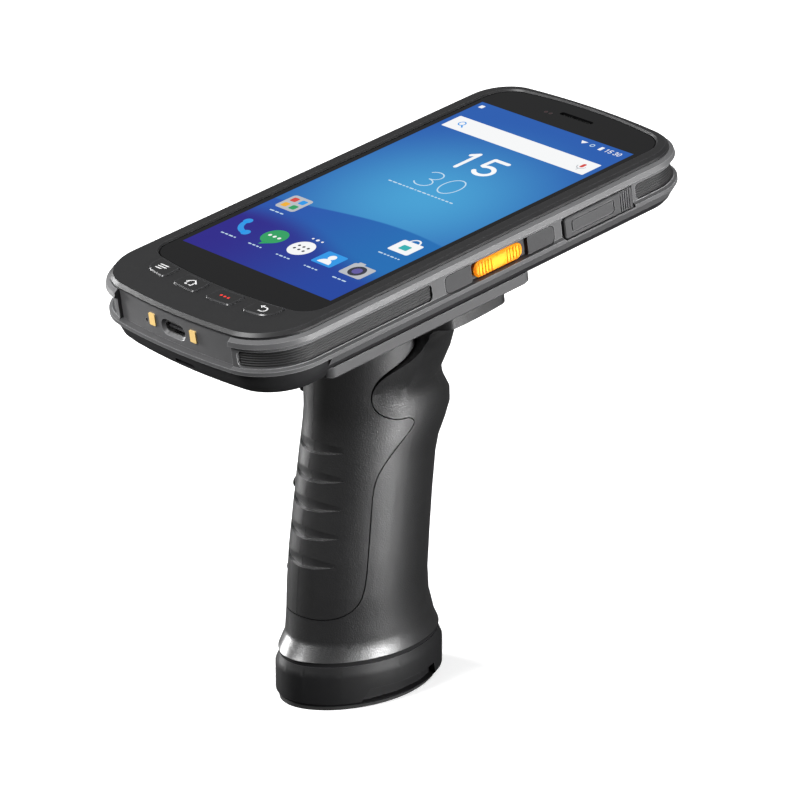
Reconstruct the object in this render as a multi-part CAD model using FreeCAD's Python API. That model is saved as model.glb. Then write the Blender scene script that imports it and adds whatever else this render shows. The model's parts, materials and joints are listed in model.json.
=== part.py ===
import FreeCAD, Part
import math
import os

# Portable barcode data terminal on a pistol grip.
# Millimetres. +X points to the scan end, +Y to the left side, +Z up.
# The origin is the centre of the resting face under the grip.
# The terminal is drawn in its own frame: u along its length to the scan end,
# v to the left, w out of the glass, with zero at the middle of the screen.

os.makedirs("parts", exist_ok=True)
V = FreeCAD.Vector

# Where the middle of the screen sits above the resting face, and its pitch
screen_x = 20.0
screen_z = 145.0
pitch_deg = 8.5

# Fits that repeat
seat_gap = 0.1
slip_gap = 0.2
run_gap = 0.3
pin_gap = 0.05
beyond = 60.0

# Display
screen_length = 115.1
screen_width = 64.8
module_border = 0.7
module_thickness = 2.45
glass_thickness = 1.05
glass_chamfer = 0.15

# Plan of the glass, round the screen
glass_half = screen_width / 2 + 2.2
glass_low = screen_length / 2 + 12.45
glass_top = screen_length / 2 + 13.95
glass_low_corner = 7.0
glass_top_corner = 9.5
glass_low_bow = 3.2
glass_top_bow = 3.4

# Plan of the terminal at the widest line of the front bezel, round the glass
body_half = glass_half + 4.7
body_low = glass_low + 18.5
body_top = glass_top + 2.5
body_low_corner = 17.0
body_top_corner = 13.5
body_low_bow = 3.5
body_top_bow = 3.0

# Front bezel, heights measured from the glass surface
bezel_rim = 0.5
bezel_edge_drop = 0.4
bezel_skirt_drop = 1.0
bezel_foot_drop = 2.6
bezel_chamfer = 0.9
key_roof = 1.25
bumper_wall = 1.8

# Depth of the closed terminal below the glass surface
shell_depth = 17.3

# Bumper frame round the sides, depths below the glass surface
bumper_start = 1.15
upper_ridge_high = 1.9
upper_ridge_low = 3.3
recess_start = 4.0
bumper_end = shell_depth - 3.1
lower_ridge_low = bumper_end - 2.75
lower_ridge_high = lower_ridge_low - 1.15
recess_end = lower_ridge_high - 0.5
start_out = 0.2
shoulder_out = 1.35
ridge_out = 1.7
side_out = 0.7

# Textured pads let into the bumper at its four corners
pad_high = 4.6
pad_low = recess_end - 0.2
pad_pocket = 1.6
pad_thickness = 0.9
pad_corner = 1.4
low_pad_reach = body_low - 60.5
low_pad_edge = 26.8
top_pad_reach = body_top - 24.0
top_pad_edge = 20.0

# Dock panel across the key end
dock_half = body_half - 14.3
dock_low = 10.2
dock_back = 2.8
dock_sink = 0.4
port_depth_line = 6.0
port_width = 9.0
port_height = 3.3
port_length = 8.0
port_start = 0.9
port_wall = 0.3
port_margin = 0.7
tongue_width = 6.6
tongue_height = 0.7
tongue_back = 0.4
contact_spacing = 18.0
contact_depth_line = 5.4
contact_width = 2.6
contact_height = 3.6
contact_length = 3.2
contact_proud = 0.25
mic_offset = 12.2
mic_radius = 0.6
mic_drop = 1.3

# Front keys in a shallow arc
key_low_line = body_low - 10.6
key_arc_radius = 150.0
key_length = 6.4
key_row_margin = 9.7
key_between = 4.6
key_pitch = (body_half - key_row_margin) / 2
key_width = key_pitch - key_between
key_proud = 0.35
key_corner = 1.3
key_end_corner = 4.6
key_bevel = 0.3
key_flange = 0.8
key_flange_thickness = 0.8
key_travel = 0.35
key_arc_rise = 3.0
dome_radius = 3.0
dome_height = 0.5
keypad_board_thickness = 0.5

# Side keys and the plates round them
surround_low = -23.2
surround_high = 18.2
surround_top = 4.5
surround_bottom = 10.2
surround_corner = 1.6
scan_recess_low = -13.4
scan_recess_high = 8.0
scan_recess_depth = 1.2
scan_key_middle = -3.2
scan_key_length = 18.4
scan_key_height = 4.9
scan_key_line = 7.3
scan_key_proud = 0.35
side_key_flange = 0.9
side_key_flange_depth = 1.0
side_key_travel = 0.5
rib_count = 5
rib_pitch = 1.15
rib_width = 0.5
rib_depth = 0.3
switch_height = 3.0
switch_depth = 2.6
switch_length = 6.0

# Volume rocker and power key on the left side
power_middle = body_top - 31.5
rocker_middle = power_middle - 13.5
rocker_length = 14.0
rocker_height = 4.2
power_length = 7.0
left_key_line = 7.2
stub_radius = 0.5
stub_reach = 0.5
left_key_proud = 0.9
rocker_gap = 0.3

# Card cover on the right side, hinged at its ribbed end
cover_low = 21.8
cover_high = 48.6
cover_top = 4.4
cover_bottom = 10.8
cover_corner = 1.1
cover_pocket = 1.2
cover_proud = 0.65
cover_notch = 0.8
cover_plug_low = 25.0
cover_plug_high = 44.0
cover_plug_depth = 1.2
cover_plug_height = 3.6
cover_rib_count = 5
cover_rib_pitch = 0.85
cover_frame_low = 24.3
cover_frame_high = 41.0
cover_frame_width = 0.4
cover_frame_depth = 0.3
cover_pin_radius = 0.38
cover_pin_reach = 1.1
cover_border = 1.1
socket_length = 17.0
socket_width = 14.0
socket_height = 3.0
card_slot_height = 0.9
card_slot_width = 13.0

# Rear shell
shell_floor = 2.2
shell_edge_depth = shell_depth - 0.8
shell_bend_depth = shell_depth - 2.0
shell_edge_in = 2.0
shell_bend_in = 0.8
shell_top_in = 0.3
shell_flat_in = 4.2
shell_wall = 2.0
tray_bottom = shell_depth + 2.4
cap_end = -(body_low - 22.4)
chin_depth = tray_bottom - 0.1
chin_edge_depth = chin_depth - 0.9
chin_bend_depth = chin_depth - 3.0
chin_flat_in = 5.2
chin_edge_in = 3.0
chin_bend_in = 1.2
slot_length = 8.6
slot_height = 1.7
slot_middle = -2.5
slot_depth_line = shell_depth - 1.3
slot_sink = 4.0
hump_high = body_top - 2.5
hump_low = hump_high - 26.5
hump_half = body_half - 9.3
hump_depth = shell_depth + 5.0
hump_slope = 4.0
hump_corner = 6.0
hump_wall = 1.8

# Battery of the terminal and its cover
bay_low = -53.0
bay_high = 13.0
bay_half = body_half - 8.3
bay_corner = 4.0
bay_ledge = 1.8
battery_cover_thickness = 1.4
battery_roof = 8.5
battery_thickness = shell_depth - battery_cover_thickness - battery_roof

# Inner plates and boards
plate_thickness = 1.0
end_in = 4.4
port_notch_half = 5.2
board_thickness = 0.95
board_in = 3.6
board_window = (-60.0, -34.0, -12.0, 12.0)
plate_windows = (
    (-30.0, 14.0, 16.0, 9.0),
    (-30.0, -14.0, 16.0, 9.0),
    (18.0, 12.0, 13.0, 10.0),
    (18.0, -14.0, 13.0, 8.0),
)
shield_height = 1.5
stack_gap = 0.05

# Scan engine, its window, the rear camera and the loudspeaker
window_half = 12.4
window_top = 5.0
window_bottom = 12.6
window_corner = 2.0
window_thickness = 1.5
engine_length = 15.0
engine_half = 10.5
engine_high = 6.0
engine_low = 13.6
lens_radius = 3.2
lamp_radius = 2.1
lens_offset = 4.6
lens_proud = 0.6
camera_u = hump_high - 12.0
camera_v = 14.0
camera_radius = 5.6
camera_barrel = 4.2
camera_body = 11.0
flash_v = 3.5
flash_radius = 2.2
cover_glass = 1.0
cover_glass_sink = 0.2
speaker_v = -15.0
speaker_length = 13.0
speaker_width = 16.0
speaker_height = 3.4
grille_count = 4
grille_pitch = 2.8
grille_length = 9.0
grille_width = 1.1
earpiece_u = screen_length / 2 + 7.95
earpiece_length = 13.6
earpiece_width = 1.7
earpiece_mesh_thickness = 0.3
receiver_height = 2.2

# Screws of the rear shell and the tray
screw_head = 2.1
screw_head_height = 1.3
screw_shank = 0.9
screw_length = 4.2
rear_screw_low = -(body_low - 13.5)
rear_screw_low_half = body_half - 17.3
rear_screw_high = body_top - 34.0
rear_screw_high_half = body_half - 6.8
tray_screw_u = cap_end + 6.6
tray_screw_half = body_half - 19.3
shank_sides = 8
drive_sides = 6

# Tray of the grip, which hugs the rear shell
tray_low = cap_end + seat_gap
tray_high = 10.0
tray_half = body_half - 1.0
tray_top = shell_depth - 1.3
tray_corner = 3.0
tray_chamfer = 0.7

# Grip sections: height, middle along X, half length, half width
skirt_z = 15.0
skirt_top_z = 21.4
grip_wall = 2.3
skirt_section = (0.4, 27.2, 18.0)
skirt_top_section = (0.8, 23.5, 16.75)
grip_sections = (
    (17.4, 0.8, 25.3, 17.3),
    (20.6, 0.6, 24.55, 17.2),
    (26.5, 0.0, 23.3, 17.0),
    (34.0, -0.1, 22.8, 17.0),
    (45.0, 0.7, 22.75, 16.9),
    (58.0, 2.1, 22.4, 16.7),
    (70.0, 3.6, 22.2, 16.6),
    (75.0, 4.6, 22.5, 16.6),
    (80.0, 6.3, 23.5, 16.8),
    (84.0, 7.4, 24.2, 16.8),
    (87.5, 7.5, 24.0, 16.7),
    (91.0, 6.5, 22.9, 16.5),
    (95.0, 5.6, 21.9, 16.3),
)

# Straight neck of the palm shells, as above
tall_neck = 125.0
palm_sections = (
    (101.0, 6.0, 22.0, 16.7),
    (tall_neck, 6.0, 22.0, 17.1),
)

# Flared neck of the front shell, in the terminal frame: depth below the glass, middle,
# half length to the front, half length to the rear, half width, corner radius, end turn, tilt
block_depth = tray_bottom + 5.5
block_half = tray_half - 4.3
block_front = 19.0
block_rear = 8.6
block_middle = -12.5
block_corner = 3.5
block_turn = 6.0
neck_sections = (
    (block_depth + 15.8, -18.8, 23.0, 21.1, 18.4, 17.5, 28.0, 4.0),
    (block_depth + 9.0, -16.6, 21.9, 17.0, 20.4, 14.0, 24.0, pitch_deg),
    (block_depth + 4.2, -14.4, 20.6, 12.8, 24.6, 9.0, 18.0, pitch_deg),
    (block_depth + 1.5, -13.2, 19.6, 10.0, 29.4, 6.0, 12.0, pitch_deg),
    (block_depth, block_middle, block_front, block_rear, block_half, block_corner, block_turn, pitch_deg),
)

# Seam between the palm shells and the front shell, seen from the side
seam_points = (
    (3.2, 140.0),
    (3.0, 122.0),
    (4.2, 116.6),
    (6.6, 112.2),
    (7.4, 108.8),
    (5.2, 105.8),
    (-0.9, 102.2),
    (-5.0, 98.8),
    (-6.4, 94.4),
    (-5.2, 90.2),
    (-1.7, 87.4),
    (3.0, 86.2),
    (5.6, 85.9),
    (6.9, 84.6),
    (6.2, 83.2),
    (2.8, 80.1),
    (-1.4, 75.9),
    (-5.8, 69.6),
    (-7.3, 63.0),
    (-8.2, 54.5),
    (-9.2, 45.5),
    (-10.2, 37.8),
    (-12.4, 32.0),
    (-17.0, 28.6),
    (-24.0, 27.8),
)
hollow_sections = (
    grip_sections[0],
    grip_sections[3],
    grip_sections[6],
    grip_sections[9],
    grip_sections[12],
    palm_sections[1],
)
seam_gap = 0.35
halves_gap = 0.12

# Grooves for the palm
groove_count = 5
groove_first = 44.4
groove_pitch = 8.55
groove_height = 3.8
groove_half = 12.0
groove_depth = 1.2
groove_round = 16.5

# Trigger
pivot_x = 21.5
pivot_z = 102.5
trigger_half = 6.3
trigger_points = (
    (30.7, 104.0),
    (28.9, 99.0),
    (28.2, 94.0),
    (28.8, 90.4),
    (30.7, 87.0),
)
trigger_tip = (29.9, 85.6)
trigger_heel = (25.4, 86.2)
trigger_back = (24.0, 98.0)
trigger_edge = 1.6
trigger_pin_radius = 1.5
trigger_boss = 3.2
cheek_thickness = 2.2
cheek_low = 82.6
cheek_high = 107.5
cheek_back = 13.0
slot_floor = 83.6
slot_roof = 107.0
slot_back = 16.0
spring_reach = 1.5
spring_sheet = 0.35
spring_half = 1.4
spring_z = 96.0
spring_start = 15.2
spring_pocket = 3.0
spring_slack = 0.3

# Inside the grip
trigger_board_x = 8.4
trigger_board_thickness = 1.2
trigger_board_half = 9.0
trigger_board_low = 70.1
trigger_board_high = 100.0
trigger_switch_depth = 9.0
trigger_switch_half = 3.2
trigger_switch_low = 86.5
trigger_switch_high = 93.0
plunger_radius = 1.0
plunger_length = 4.9
plunger_z = 89.8
cell_x = 4.6
cell_length = 24.0
cell_half = 10.0
cell_low = 3.5
cell_high = 66.0
contact_block_half = 8.0
contact_block_low_x = 2.0
contact_block_high_x = 14.0
boss_radius = 2.6
boss_x = -13.4
boss_heights = (36.0, 62.0, 92.0)
boss_shifts = (0.0, 2.0, 3.4)
boss_screw_radius = 1.0
boss_head_radius = 2.0
boss_screw_sink = 1.2
boss_screw_length = 5.0
pilot_start = 6.0

# Base cap and foot pad
foot_height = 1.2
foot_section = (0.0, 26.8, 17.6)
cap_floor = 2.2
cap_wall = 2.4
cap_round_z = 2.3
cap_side_z = 10.2
cap_top_z = 13.4
cap_section = (0.5, 28.1, 19.0)
cap_round_in = 0.8
cap_top_in = 1.3
spigot_in = 2.6
spigot_height = 18.0
cap_slot_low = -13.0
cap_slot_high = 17.0
cap_slot_bottom = 1.9
cap_slot_top = 5.9
cap_slot_depth = 2.2
cap_slot_slant = 3.0
oval_turn = 30.0
oval_corner_share = 0.46
inner_sides = 16


body = {
    "half": body_half,
    "low": body_low,
    "top": body_top,
    "low_corner": body_low_corner,
    "top_corner": body_top_corner,
    "low_bow": body_low_bow,
    "top_bow": body_top_bow,
}
glass = {
    "half": glass_half,
    "low": glass_low,
    "top": glass_top,
    "low_corner": glass_low_corner,
    "top_corner": glass_top_corner,
    "low_bow": glass_low_bow,
    "top_bow": glass_top_bow,
}


# Basic shapes

def end_points(reach, half, corner, bow, grow):
    """Side point, corner middle, end tangent and tip of one end of a plan, on its left side."""
    radius = (half * half + bow * bow) / (2 * bow)
    arc_u = reach - radius
    corner_v = half - corner
    corner_u = arc_u + math.sqrt((radius - corner) ** 2 - corner_v ** 2)
    turn = math.atan2(corner_v, corner_u - arc_u)
    middle = (turn + math.pi / 2) / 2
    round_radius = corner + grow
    side = (corner_u, half + grow)
    bend = (corner_u + round_radius * math.cos(middle), corner_v + round_radius * math.sin(middle))
    tangent = (arc_u + (radius + grow) * math.cos(turn), (radius + grow) * math.sin(turn))
    tip = (reach + grow, 0.0)
    return side, bend, tangent, tip


def plan_wire(plan, grow, height):
    """Closed plan outline: two bowed ends, four rounded corners and two straight sides."""
    half = plan["half"]
    top = end_points(plan["top"], half, plan["top_corner"], plan["top_bow"], grow)
    low = end_points(plan["low"], half, plan["low_corner"], plan["low_bow"], grow)

    def point(pair, along, across):
        return V(along * pair[0], across * pair[1], height)

    edges = []
    for end, along in ((top, 1), (low, -1)):
        side, bend, tangent, tip = end
        edges.append(Part.Arc(point(side, along, along), point(bend, along, along), point(tangent, along, along)))
        edges.append(Part.Arc(point(tangent, along, along), point(tip, along, 1), point(tangent, along, -along)))
        edges.append(Part.Arc(point(tangent, along, -along), point(bend, along, -along), point(side, along, -along)))
        other = low if along == 1 else top
        edges.append(Part.LineSegment(point(side, along, -along), point(other[0], -along, -along)))
    return Part.Wire([edge.toShape() for edge in edges])


def plan_stack(plan, levels):
    """Solid whose outline changes along straight slopes; levels are (height, growth), from low to high."""
    return Part.makeLoft([plan_wire(plan, grow, height) for height, grow in levels], True, True)


def box(u0, u1, v0, v1, w0, w1):
    return Part.makeBox(u1 - u0, v1 - v0, w1 - w0, V(u0, v0, w0))


def rounded_bar(axis, u0, u1, v0, v1, w0, w1, radius):
    """Block with the four edges along one axis rounded; a radius of half a side makes it a stadium."""
    if axis == "u":
        x0, x1, y0, y1 = v0, v1, w0, w1
        sweep = V(u1 - u0, 0, 0)
    elif axis == "v":
        x0, x1, y0, y1 = u0, u1, w0, w1
        sweep = V(0, v1 - v0, 0)
    else:
        x0, x1, y0, y1 = u0, u1, v0, v1
        sweep = V(0, 0, w1 - w0)

    def place(x, y):
        if axis == "u":
            return V(u0, x, y)
        if axis == "v":
            return V(x, v0, y)
        return V(x, y, w0)

    radius = min(radius, (x1 - x0) / 2, (y1 - y0) / 2)
    centres = (
        (x1 - radius, y1 - radius, 0),
        (x0 + radius, y1 - radius, 1),
        (x0 + radius, y0 + radius, 2),
        (x1 - radius, y0 + radius, 3),
    )
    arcs = []
    for x, y, quarter in centres:
        spots = []
        for step in (0, 1, 2):
            angle = (quarter + step / 2) * math.pi / 2
            spots.append(place(x + radius * math.cos(angle), y + radius * math.sin(angle)))
        arcs.append(spots)
    edges = []
    for index, spots in enumerate(arcs):
        edges.append(Part.Arc(*spots).toShape())
        following = arcs[(index + 1) % 4][0]
        if spots[2].distanceToPoint(following) > 1e-6:
            edges.append(Part.LineSegment(spots[2], following).toShape())
    return Part.Face(Part.Wire(edges)).extrude(sweep)


def rod(axis, x, y, z, radius, length):
    """Cylinder from a point along +u, +v or +w."""
    direction = {"u": V(1, 0, 0), "v": V(0, 1, 0), "w": V(0, 0, 1)}[axis]
    return Part.makeCylinder(radius, length, V(x, y, z), direction)


def mirrored(shape):
    """The same shape on the other side of the middle plane."""
    return shape.mirror(V(0, 0, 0), V(0, 1, 0))


def quarter_arcs(reach, half_width, corner, turn):
    """End points and middles of the three tangent arcs from the tip of an oval to its side."""
    first = math.radians(turn)
    last = math.pi / 2 - first
    along = reach - corner * (math.cos(first) - math.cos(last))
    across = half_width - corner * (math.sin(last) - math.sin(first))
    near = 1 - math.cos(first)
    far = math.cos(last)
    end_radius = (near * along - far * across) / (near * near - far * far)
    side_radius = (along - near * end_radius) / far
    spots = []
    x = reach
    y = 0.0
    angle = 0.0
    for radius, finish in ((end_radius, first), (corner, last), (side_radius, math.pi / 2)):
        centre_x = x - radius * math.cos(angle)
        centre_y = y - radius * math.sin(angle)
        for share in (0.5, 1.0):
            at = angle + share * (finish - angle)
            spots.append((centre_x + radius * math.cos(at), centre_y + radius * math.sin(at)))
        x, y = spots[-1]
        angle = finish
    return spots


def oval_wire(x, z, half_length, half_width, tilt=0.0, rear=None, corner=None, turn=oval_turn):
    """Closed oval of twelve tangent arcs, close to an ellipse unless a corner radius is given.

    With a rear length of its own, the half behind the middle has that length.
    """
    rear = half_length if rear is None else rear
    round_corner = oval_corner_share * (half_length + half_width)
    rear_corner = oval_corner_share * (rear + half_width)
    front_spots = quarter_arcs(half_length, half_width, corner or round_corner, turn)
    rear_spots = quarter_arcs(rear, half_width, min(corner or rear_corner, rear_corner), turn)
    loop = [(half_length, 0.0)] + front_spots
    loop += [(-a, b) for a, b in reversed(rear_spots[:-1])] + [(-rear, 0.0)]
    loop += [(-a, -b) for a, b in rear_spots]
    loop += [(a, -b) for a, b in reversed(front_spots[:-1])]
    count = len(loop)
    points = [V(a, b, 0) for a, b in loop]
    edges = []
    for index in range(0, count, 2):
        edges.append(Part.Arc(points[index], points[index + 1], points[(index + 2) % count]).toShape())
    wire = Part.Wire(edges)
    wire.Placement = FreeCAD.Placement(V(x, 0, z), FreeCAD.Rotation(V(0, 1, 0), -tilt))
    return wire


def faceted_wire(x, z, half_length, half_width):
    """Closed oval of straight sides, for hollows that stay out of sight."""
    points = []
    for index in range(inner_sides + 1):
        angle = 2 * math.pi * (index % inner_sides) / inner_sides
        points.append(V(x + half_length * math.cos(angle), half_width * math.sin(angle), z))
    return Part.makePolygon(points)


def polygon_rod(axis, x, y, z, radius, length, sides):
    """Prism with flat sides from a point along +u, +v or +w."""
    ring = []
    for index in range(sides + 1):
        angle = 2 * math.pi * (index % sides) / sides
        first = radius * math.cos(angle)
        second = radius * math.sin(angle)
        offset = {"u": V(0, first, second), "v": V(first, 0, second), "w": V(first, second, 0)}[axis]
        ring.append(V(x, y, z) + offset)
    sweep = {"u": V(length, 0, 0), "v": V(0, length, 0), "w": V(0, 0, length)}[axis]
    return Part.Face(Part.makePolygon(ring)).extrude(sweep)


def ruled(wires):
    """Solid through closed outlines, straight from each one to the next."""
    return Part.makeLoft(wires, True, True)


def only_solids(shape):
    """A single solid, or a compound of the separate solids."""
    solids = shape.Solids
    if len(solids) == 1:
        return solids[0]
    return Part.makeCompound(solids)


terminal_place = FreeCAD.Placement(
    V(screen_x, 0, screen_z), FreeCAD.Rotation(V(0, 1, 0), -pitch_deg)
)


def in_grip(u, v, w):
    """A point of the terminal frame in the frame of the whole object."""
    return terminal_place.multVec(V(u, v, w))


def save(name, shape, on_terminal=False):
    piece = only_solids(shape).copy()
    if on_terminal:
        piece.Placement = terminal_place.multiply(piece.Placement)
    if not piece.isValid() or not piece.Solids:
        print("check", name, piece.isValid(), len(piece.Solids))
    piece.exportStep("parts/" + name + ".step")


# Display and front

inner_out = -bumper_wall
tongue_out = inner_out - seat_gap
module_half_length = screen_length / 2 + 2 * module_border
module_half_width = screen_width / 2 + module_border
module_bottom = glass_thickness + stack_gap + module_thickness
plate_top = module_bottom + stack_gap
plate_bottom = plate_top + plate_thickness
board_top = plate_bottom + stack_gap
board_bottom = board_top + board_thickness
key_flange_top = key_roof + stack_gap
key_bottom = key_flange_top + key_flange_thickness
dome_top = key_bottom + key_travel + stack_gap
keypad_top = dome_top + dome_height
key_arc_u = key_arc_radius - key_low_line


def earpiece_hole(margin, low, high):
    half_length = earpiece_length / 2 + margin
    half_width = earpiece_width / 2 + margin
    return rounded_bar(
        "w", earpiece_u - half_width, earpiece_u + half_width, -half_length, half_length, low, high, half_width
    )


def key_prism(index, margin, low, high):
    """One key of the arc, or its hole when the margin is positive."""
    middle = (index - 1.5) * key_pitch
    outer = Part.makeCylinder(key_arc_radius + margin, high - low, V(key_arc_u, 0, low))
    inner = Part.makeCylinder(key_arc_radius - key_length - margin, high - low, V(key_arc_u, 0, low))
    half = key_width / 2 + margin
    slab = box(-body_low, 0, middle - half, middle + half, low, high)
    key = outer.cut(inner).common(slab)
    low_edges = []
    end_edges = []
    for edge in key.Edges:
        start = edge.Vertexes[0].Point
        finish = edge.Vertexes[-1].Point
        if abs(start.z - finish.z) < (high - low) / 2:
            continue
        outward = abs(start.y) > abs(middle) and index in (0, 3)
        if outward and start.x < -key_low_line + key_length / 2:
            end_edges.append(edge)
        else:
            low_edges.append(edge)
    key = key.makeFillet(key_corner + margin, low_edges)
    if end_edges:
        spots = [(edge.Vertexes[0].Point.x, edge.Vertexes[0].Point.y) for edge in end_edges]
        again = []
        for edge in key.Edges:
            start = edge.Vertexes[0].Point
            finish = edge.Vertexes[-1].Point
            for x, y in spots:
                if abs(start.z - finish.z) > (high - low) / 2 and math.hypot(start.x - x, start.y - y) < 1e-4:
                    again.append(edge)
        key = key.makeFillet(key_end_corner + margin, again)
    return key


def front_bezel():
    upper = plan_stack(body, [(-bezel_skirt_drop, 0), (-bezel_edge_drop, 0), (bezel_rim, -bezel_chamfer)])
    tongue = plan_stack(body, [(-bezel_foot_drop, tongue_out), (-bezel_skirt_drop, tongue_out)])
    shell = upper.fuse(tongue)
    pocket = plan_stack(
        glass,
        [(-glass_thickness - stack_gap, slip_gap), (0, slip_gap), (bezel_rim + seat_gap, slip_gap + bezel_rim)],
    )
    window = box(
        -module_half_length - slip_gap,
        module_half_length + slip_gap,
        -module_half_width - slip_gap,
        module_half_width + slip_gap,
        -beyond,
        0,
    )
    receiver_way = rounded_bar(
        "w",
        earpiece_u - earpiece_width,
        earpiece_u + earpiece_width,
        -earpiece_length / 2 - 1,
        earpiece_length / 2 + 1,
        -beyond,
        0,
        earpiece_width,
    )
    shell = shell.cut(pocket).cut(window).cut(receiver_way)
    reach = 2 * key_pitch - (key_pitch - key_width) / 2 + key_flange + slip_gap
    flange_pocket = box(
        -key_low_line - key_flange - slip_gap,
        -key_low_line + key_length + key_arc_rise + key_flange + slip_gap,
        -reach,
        reach,
        -beyond,
        -key_roof,
    )
    shell = shell.cut(flange_pocket)
    for index in range(4):
        shell = shell.cut(key_prism(index, slip_gap, -beyond, beyond))
    return shell


def touch_glass():
    sheet = plan_stack(glass, [(-glass_thickness, 0), (-glass_chamfer, 0), (0, -glass_chamfer)])
    return sheet.cut(earpiece_hole(0, -beyond, beyond))


def display_panel():
    top = -glass_thickness - stack_gap
    panel = rounded_bar(
        "w",
        -module_half_length,
        module_half_length,
        -module_half_width,
        module_half_width,
        -module_bottom,
        top,
        module_border,
    )
    return panel


def front_key(index):
    cap = key_prism(index, 0, -key_bottom, bezel_rim + key_proud)
    top_edges = [edge for edge in cap.Edges if edge.BoundBox.ZMin > bezel_rim + key_proud - 1e-4]
    cap = cap.makeChamfer(key_bevel, top_edges)
    edge = cap.BoundBox
    flange = box(
        edge.XMin - key_flange,
        edge.XMax + key_flange,
        edge.YMin - key_flange,
        edge.YMax + key_flange,
        -key_bottom,
        -key_flange_top,
    )
    return cap.fuse(flange)


def key_domes():
    domes = []
    for index in range(4):
        middle = (index - 1.5) * key_pitch
        u = -key_low_line + key_length / 2 + middle * middle / (2 * key_arc_radius)
        domes.append(polygon_rod("w", u, middle, -keypad_top, dome_radius, dome_height, shank_sides))
    return Part.makeCompound(domes)


def keypad_board():
    reach = 2 * key_pitch
    return rounded_bar(
        "w",
        -key_low_line - key_flange,
        -key_low_line + key_length + 2,
        -reach + key_flange,
        reach - key_flange,
        -keypad_top - keypad_board_thickness,
        -keypad_top,
        key_end_corner,
    )


# Bumper frame and what is let into it

def pad_ring(inward, outward, low, high, margin):
    """Band of the side wall between two offsets, cut to the four pad outlines."""
    band = plan_stack(body, [(-low - margin, outward), (-high + margin, outward)])
    core = plan_stack(body, [(-low - beyond, inward), (-high + beyond, inward)])
    band = band.cut(core)
    pads = []
    for along, reach, edge in ((-1, low_pad_reach, low_pad_edge), (1, top_pad_reach, top_pad_edge)):
        near = reach - margin
        far = beyond + body_low
        u0, u1 = (near, far) if along == 1 else (-far, -near)
        side_cut = rounded_bar(
            "v", u0, u1, -beyond, -edge + margin, -low - margin, -high + margin, pad_corner + margin
        )
        end_cut = rounded_bar(
            "u", u0, u1, -beyond, -edge + margin, -low - margin, -high + margin, pad_corner + margin
        )
        pads.append(band.common(side_cut).common(end_cut))
    return pads


def surround_slot(margin):
    return rounded_bar(
        "v",
        surround_low - margin,
        surround_high + margin,
        -beyond,
        -body_half + bumper_wall + 1,
        -surround_bottom - margin,
        -surround_top + margin,
        surround_corner + margin,
    )


def left_key_hole(middle, length, margin):
    half = rocker_height / 2 + margin
    return rounded_bar(
        "v",
        middle - length / 2 - margin,
        middle + length / 2 + margin,
        body_half - bumper_wall - 1,
        beyond,
        -left_key_line - half,
        -left_key_line + half,
        half,
    )


def cover_pocket_shape():
    floor = -body_half - side_out + cover_pocket
    low = -cover_bottom - slip_gap
    high = -cover_top + slip_gap
    pocket = rounded_bar(
        "v", cover_low - cover_notch, cover_high + slip_gap, -beyond, floor, low, high, cover_corner + slip_gap
    )
    return pocket.fuse(box(cover_frame_high, cover_high + slip_gap, -beyond, floor, low, high))


def cover_port(margin):
    middle = (cover_top + cover_bottom) / 2
    half = cover_plug_height / 2 + margin
    return rounded_bar(
        "v",
        cover_plug_low - margin,
        cover_plug_high + margin,
        -body_half - side_out + cover_pocket - seat_gap,
        -body_half + bumper_wall + 1,
        -middle - half,
        -middle + half,
        pad_corner,
    )


def window_prism(margin):
    return rounded_bar(
        "u",
        body_top_corner,
        beyond + body_top,
        -window_half - margin,
        window_half + margin,
        -window_bottom - margin,
        -window_top + margin,
        window_corner + margin,
    )


def bumper_frame():
    levels = [
        (-bumper_end, -shell_top_in + seat_gap),
        (-lower_ridge_low, ridge_out),
        (-lower_ridge_high, ridge_out),
        (-recess_end, side_out),
        (-recess_start, side_out),
        (-upper_ridge_low, ridge_out),
        (-upper_ridge_high, shoulder_out),
        (-bumper_start, start_out),
    ]
    ring = plan_stack(body, levels)
    ring = ring.cut(plan_stack(body, [(-bumper_end - 1, inner_out), (0, inner_out)]))
    ring = ring.cut(box(-beyond - body_low, -body_low / 2 - 10, -dock_half, dock_half, -dock_low, 0))
    ring = ring.cut(box(-beyond - body_low, cap_end, -beyond, beyond, -beyond, -lower_ridge_low))
    for pocket in pad_ring(side_out - pad_pocket, ridge_out + 1, pad_low, pad_high, 0):
        ring = ring.cut(pocket).cut(mirrored(pocket))
    slot = surround_slot(0)
    ring = ring.cut(slot).cut(mirrored(slot))
    ring = ring.cut(cover_pocket_shape()).cut(cover_port(slip_gap))
    ring = ring.cut(hinge_rod(cover_pin_radius, cover_pin_reach + seat_gap))
    ring = ring.cut(left_key_hole(rocker_middle, rocker_length, slip_gap))
    ring = ring.cut(left_key_hole(power_middle, power_length, slip_gap))
    return ring.cut(window_prism(slip_gap))


def grip_pads():
    floor = side_out - pad_pocket
    lower, upper = pad_ring(floor, floor + pad_thickness, pad_low, pad_high, -seat_gap)
    return lower, upper


def side_surround():
    face = body_half + side_out
    plate = rounded_bar(
        "v",
        surround_low + slip_gap,
        surround_high - slip_gap,
        -face,
        -body_half + bumper_wall,
        -surround_bottom + slip_gap,
        -surround_top - slip_gap,
        surround_corner,
    )
    recess = rounded_bar(
        "v",
        scan_recess_low,
        scan_recess_high,
        -beyond,
        -face + scan_recess_depth,
        -surround_bottom - 1,
        -surround_top + 1,
        surround_corner,
    )
    plate = plate.cut(recess)
    return plate.cut(scan_key_prism(slip_gap, -beyond, 0))


def scan_key_prism(margin, v0, v1):
    half = scan_key_height / 2 + margin
    return rounded_bar(
        "v",
        scan_key_middle - scan_key_length / 2 - margin,
        scan_key_middle + scan_key_length / 2 + margin,
        v0,
        v1,
        -scan_key_line - half,
        -scan_key_line + half,
        half,
    )


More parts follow.
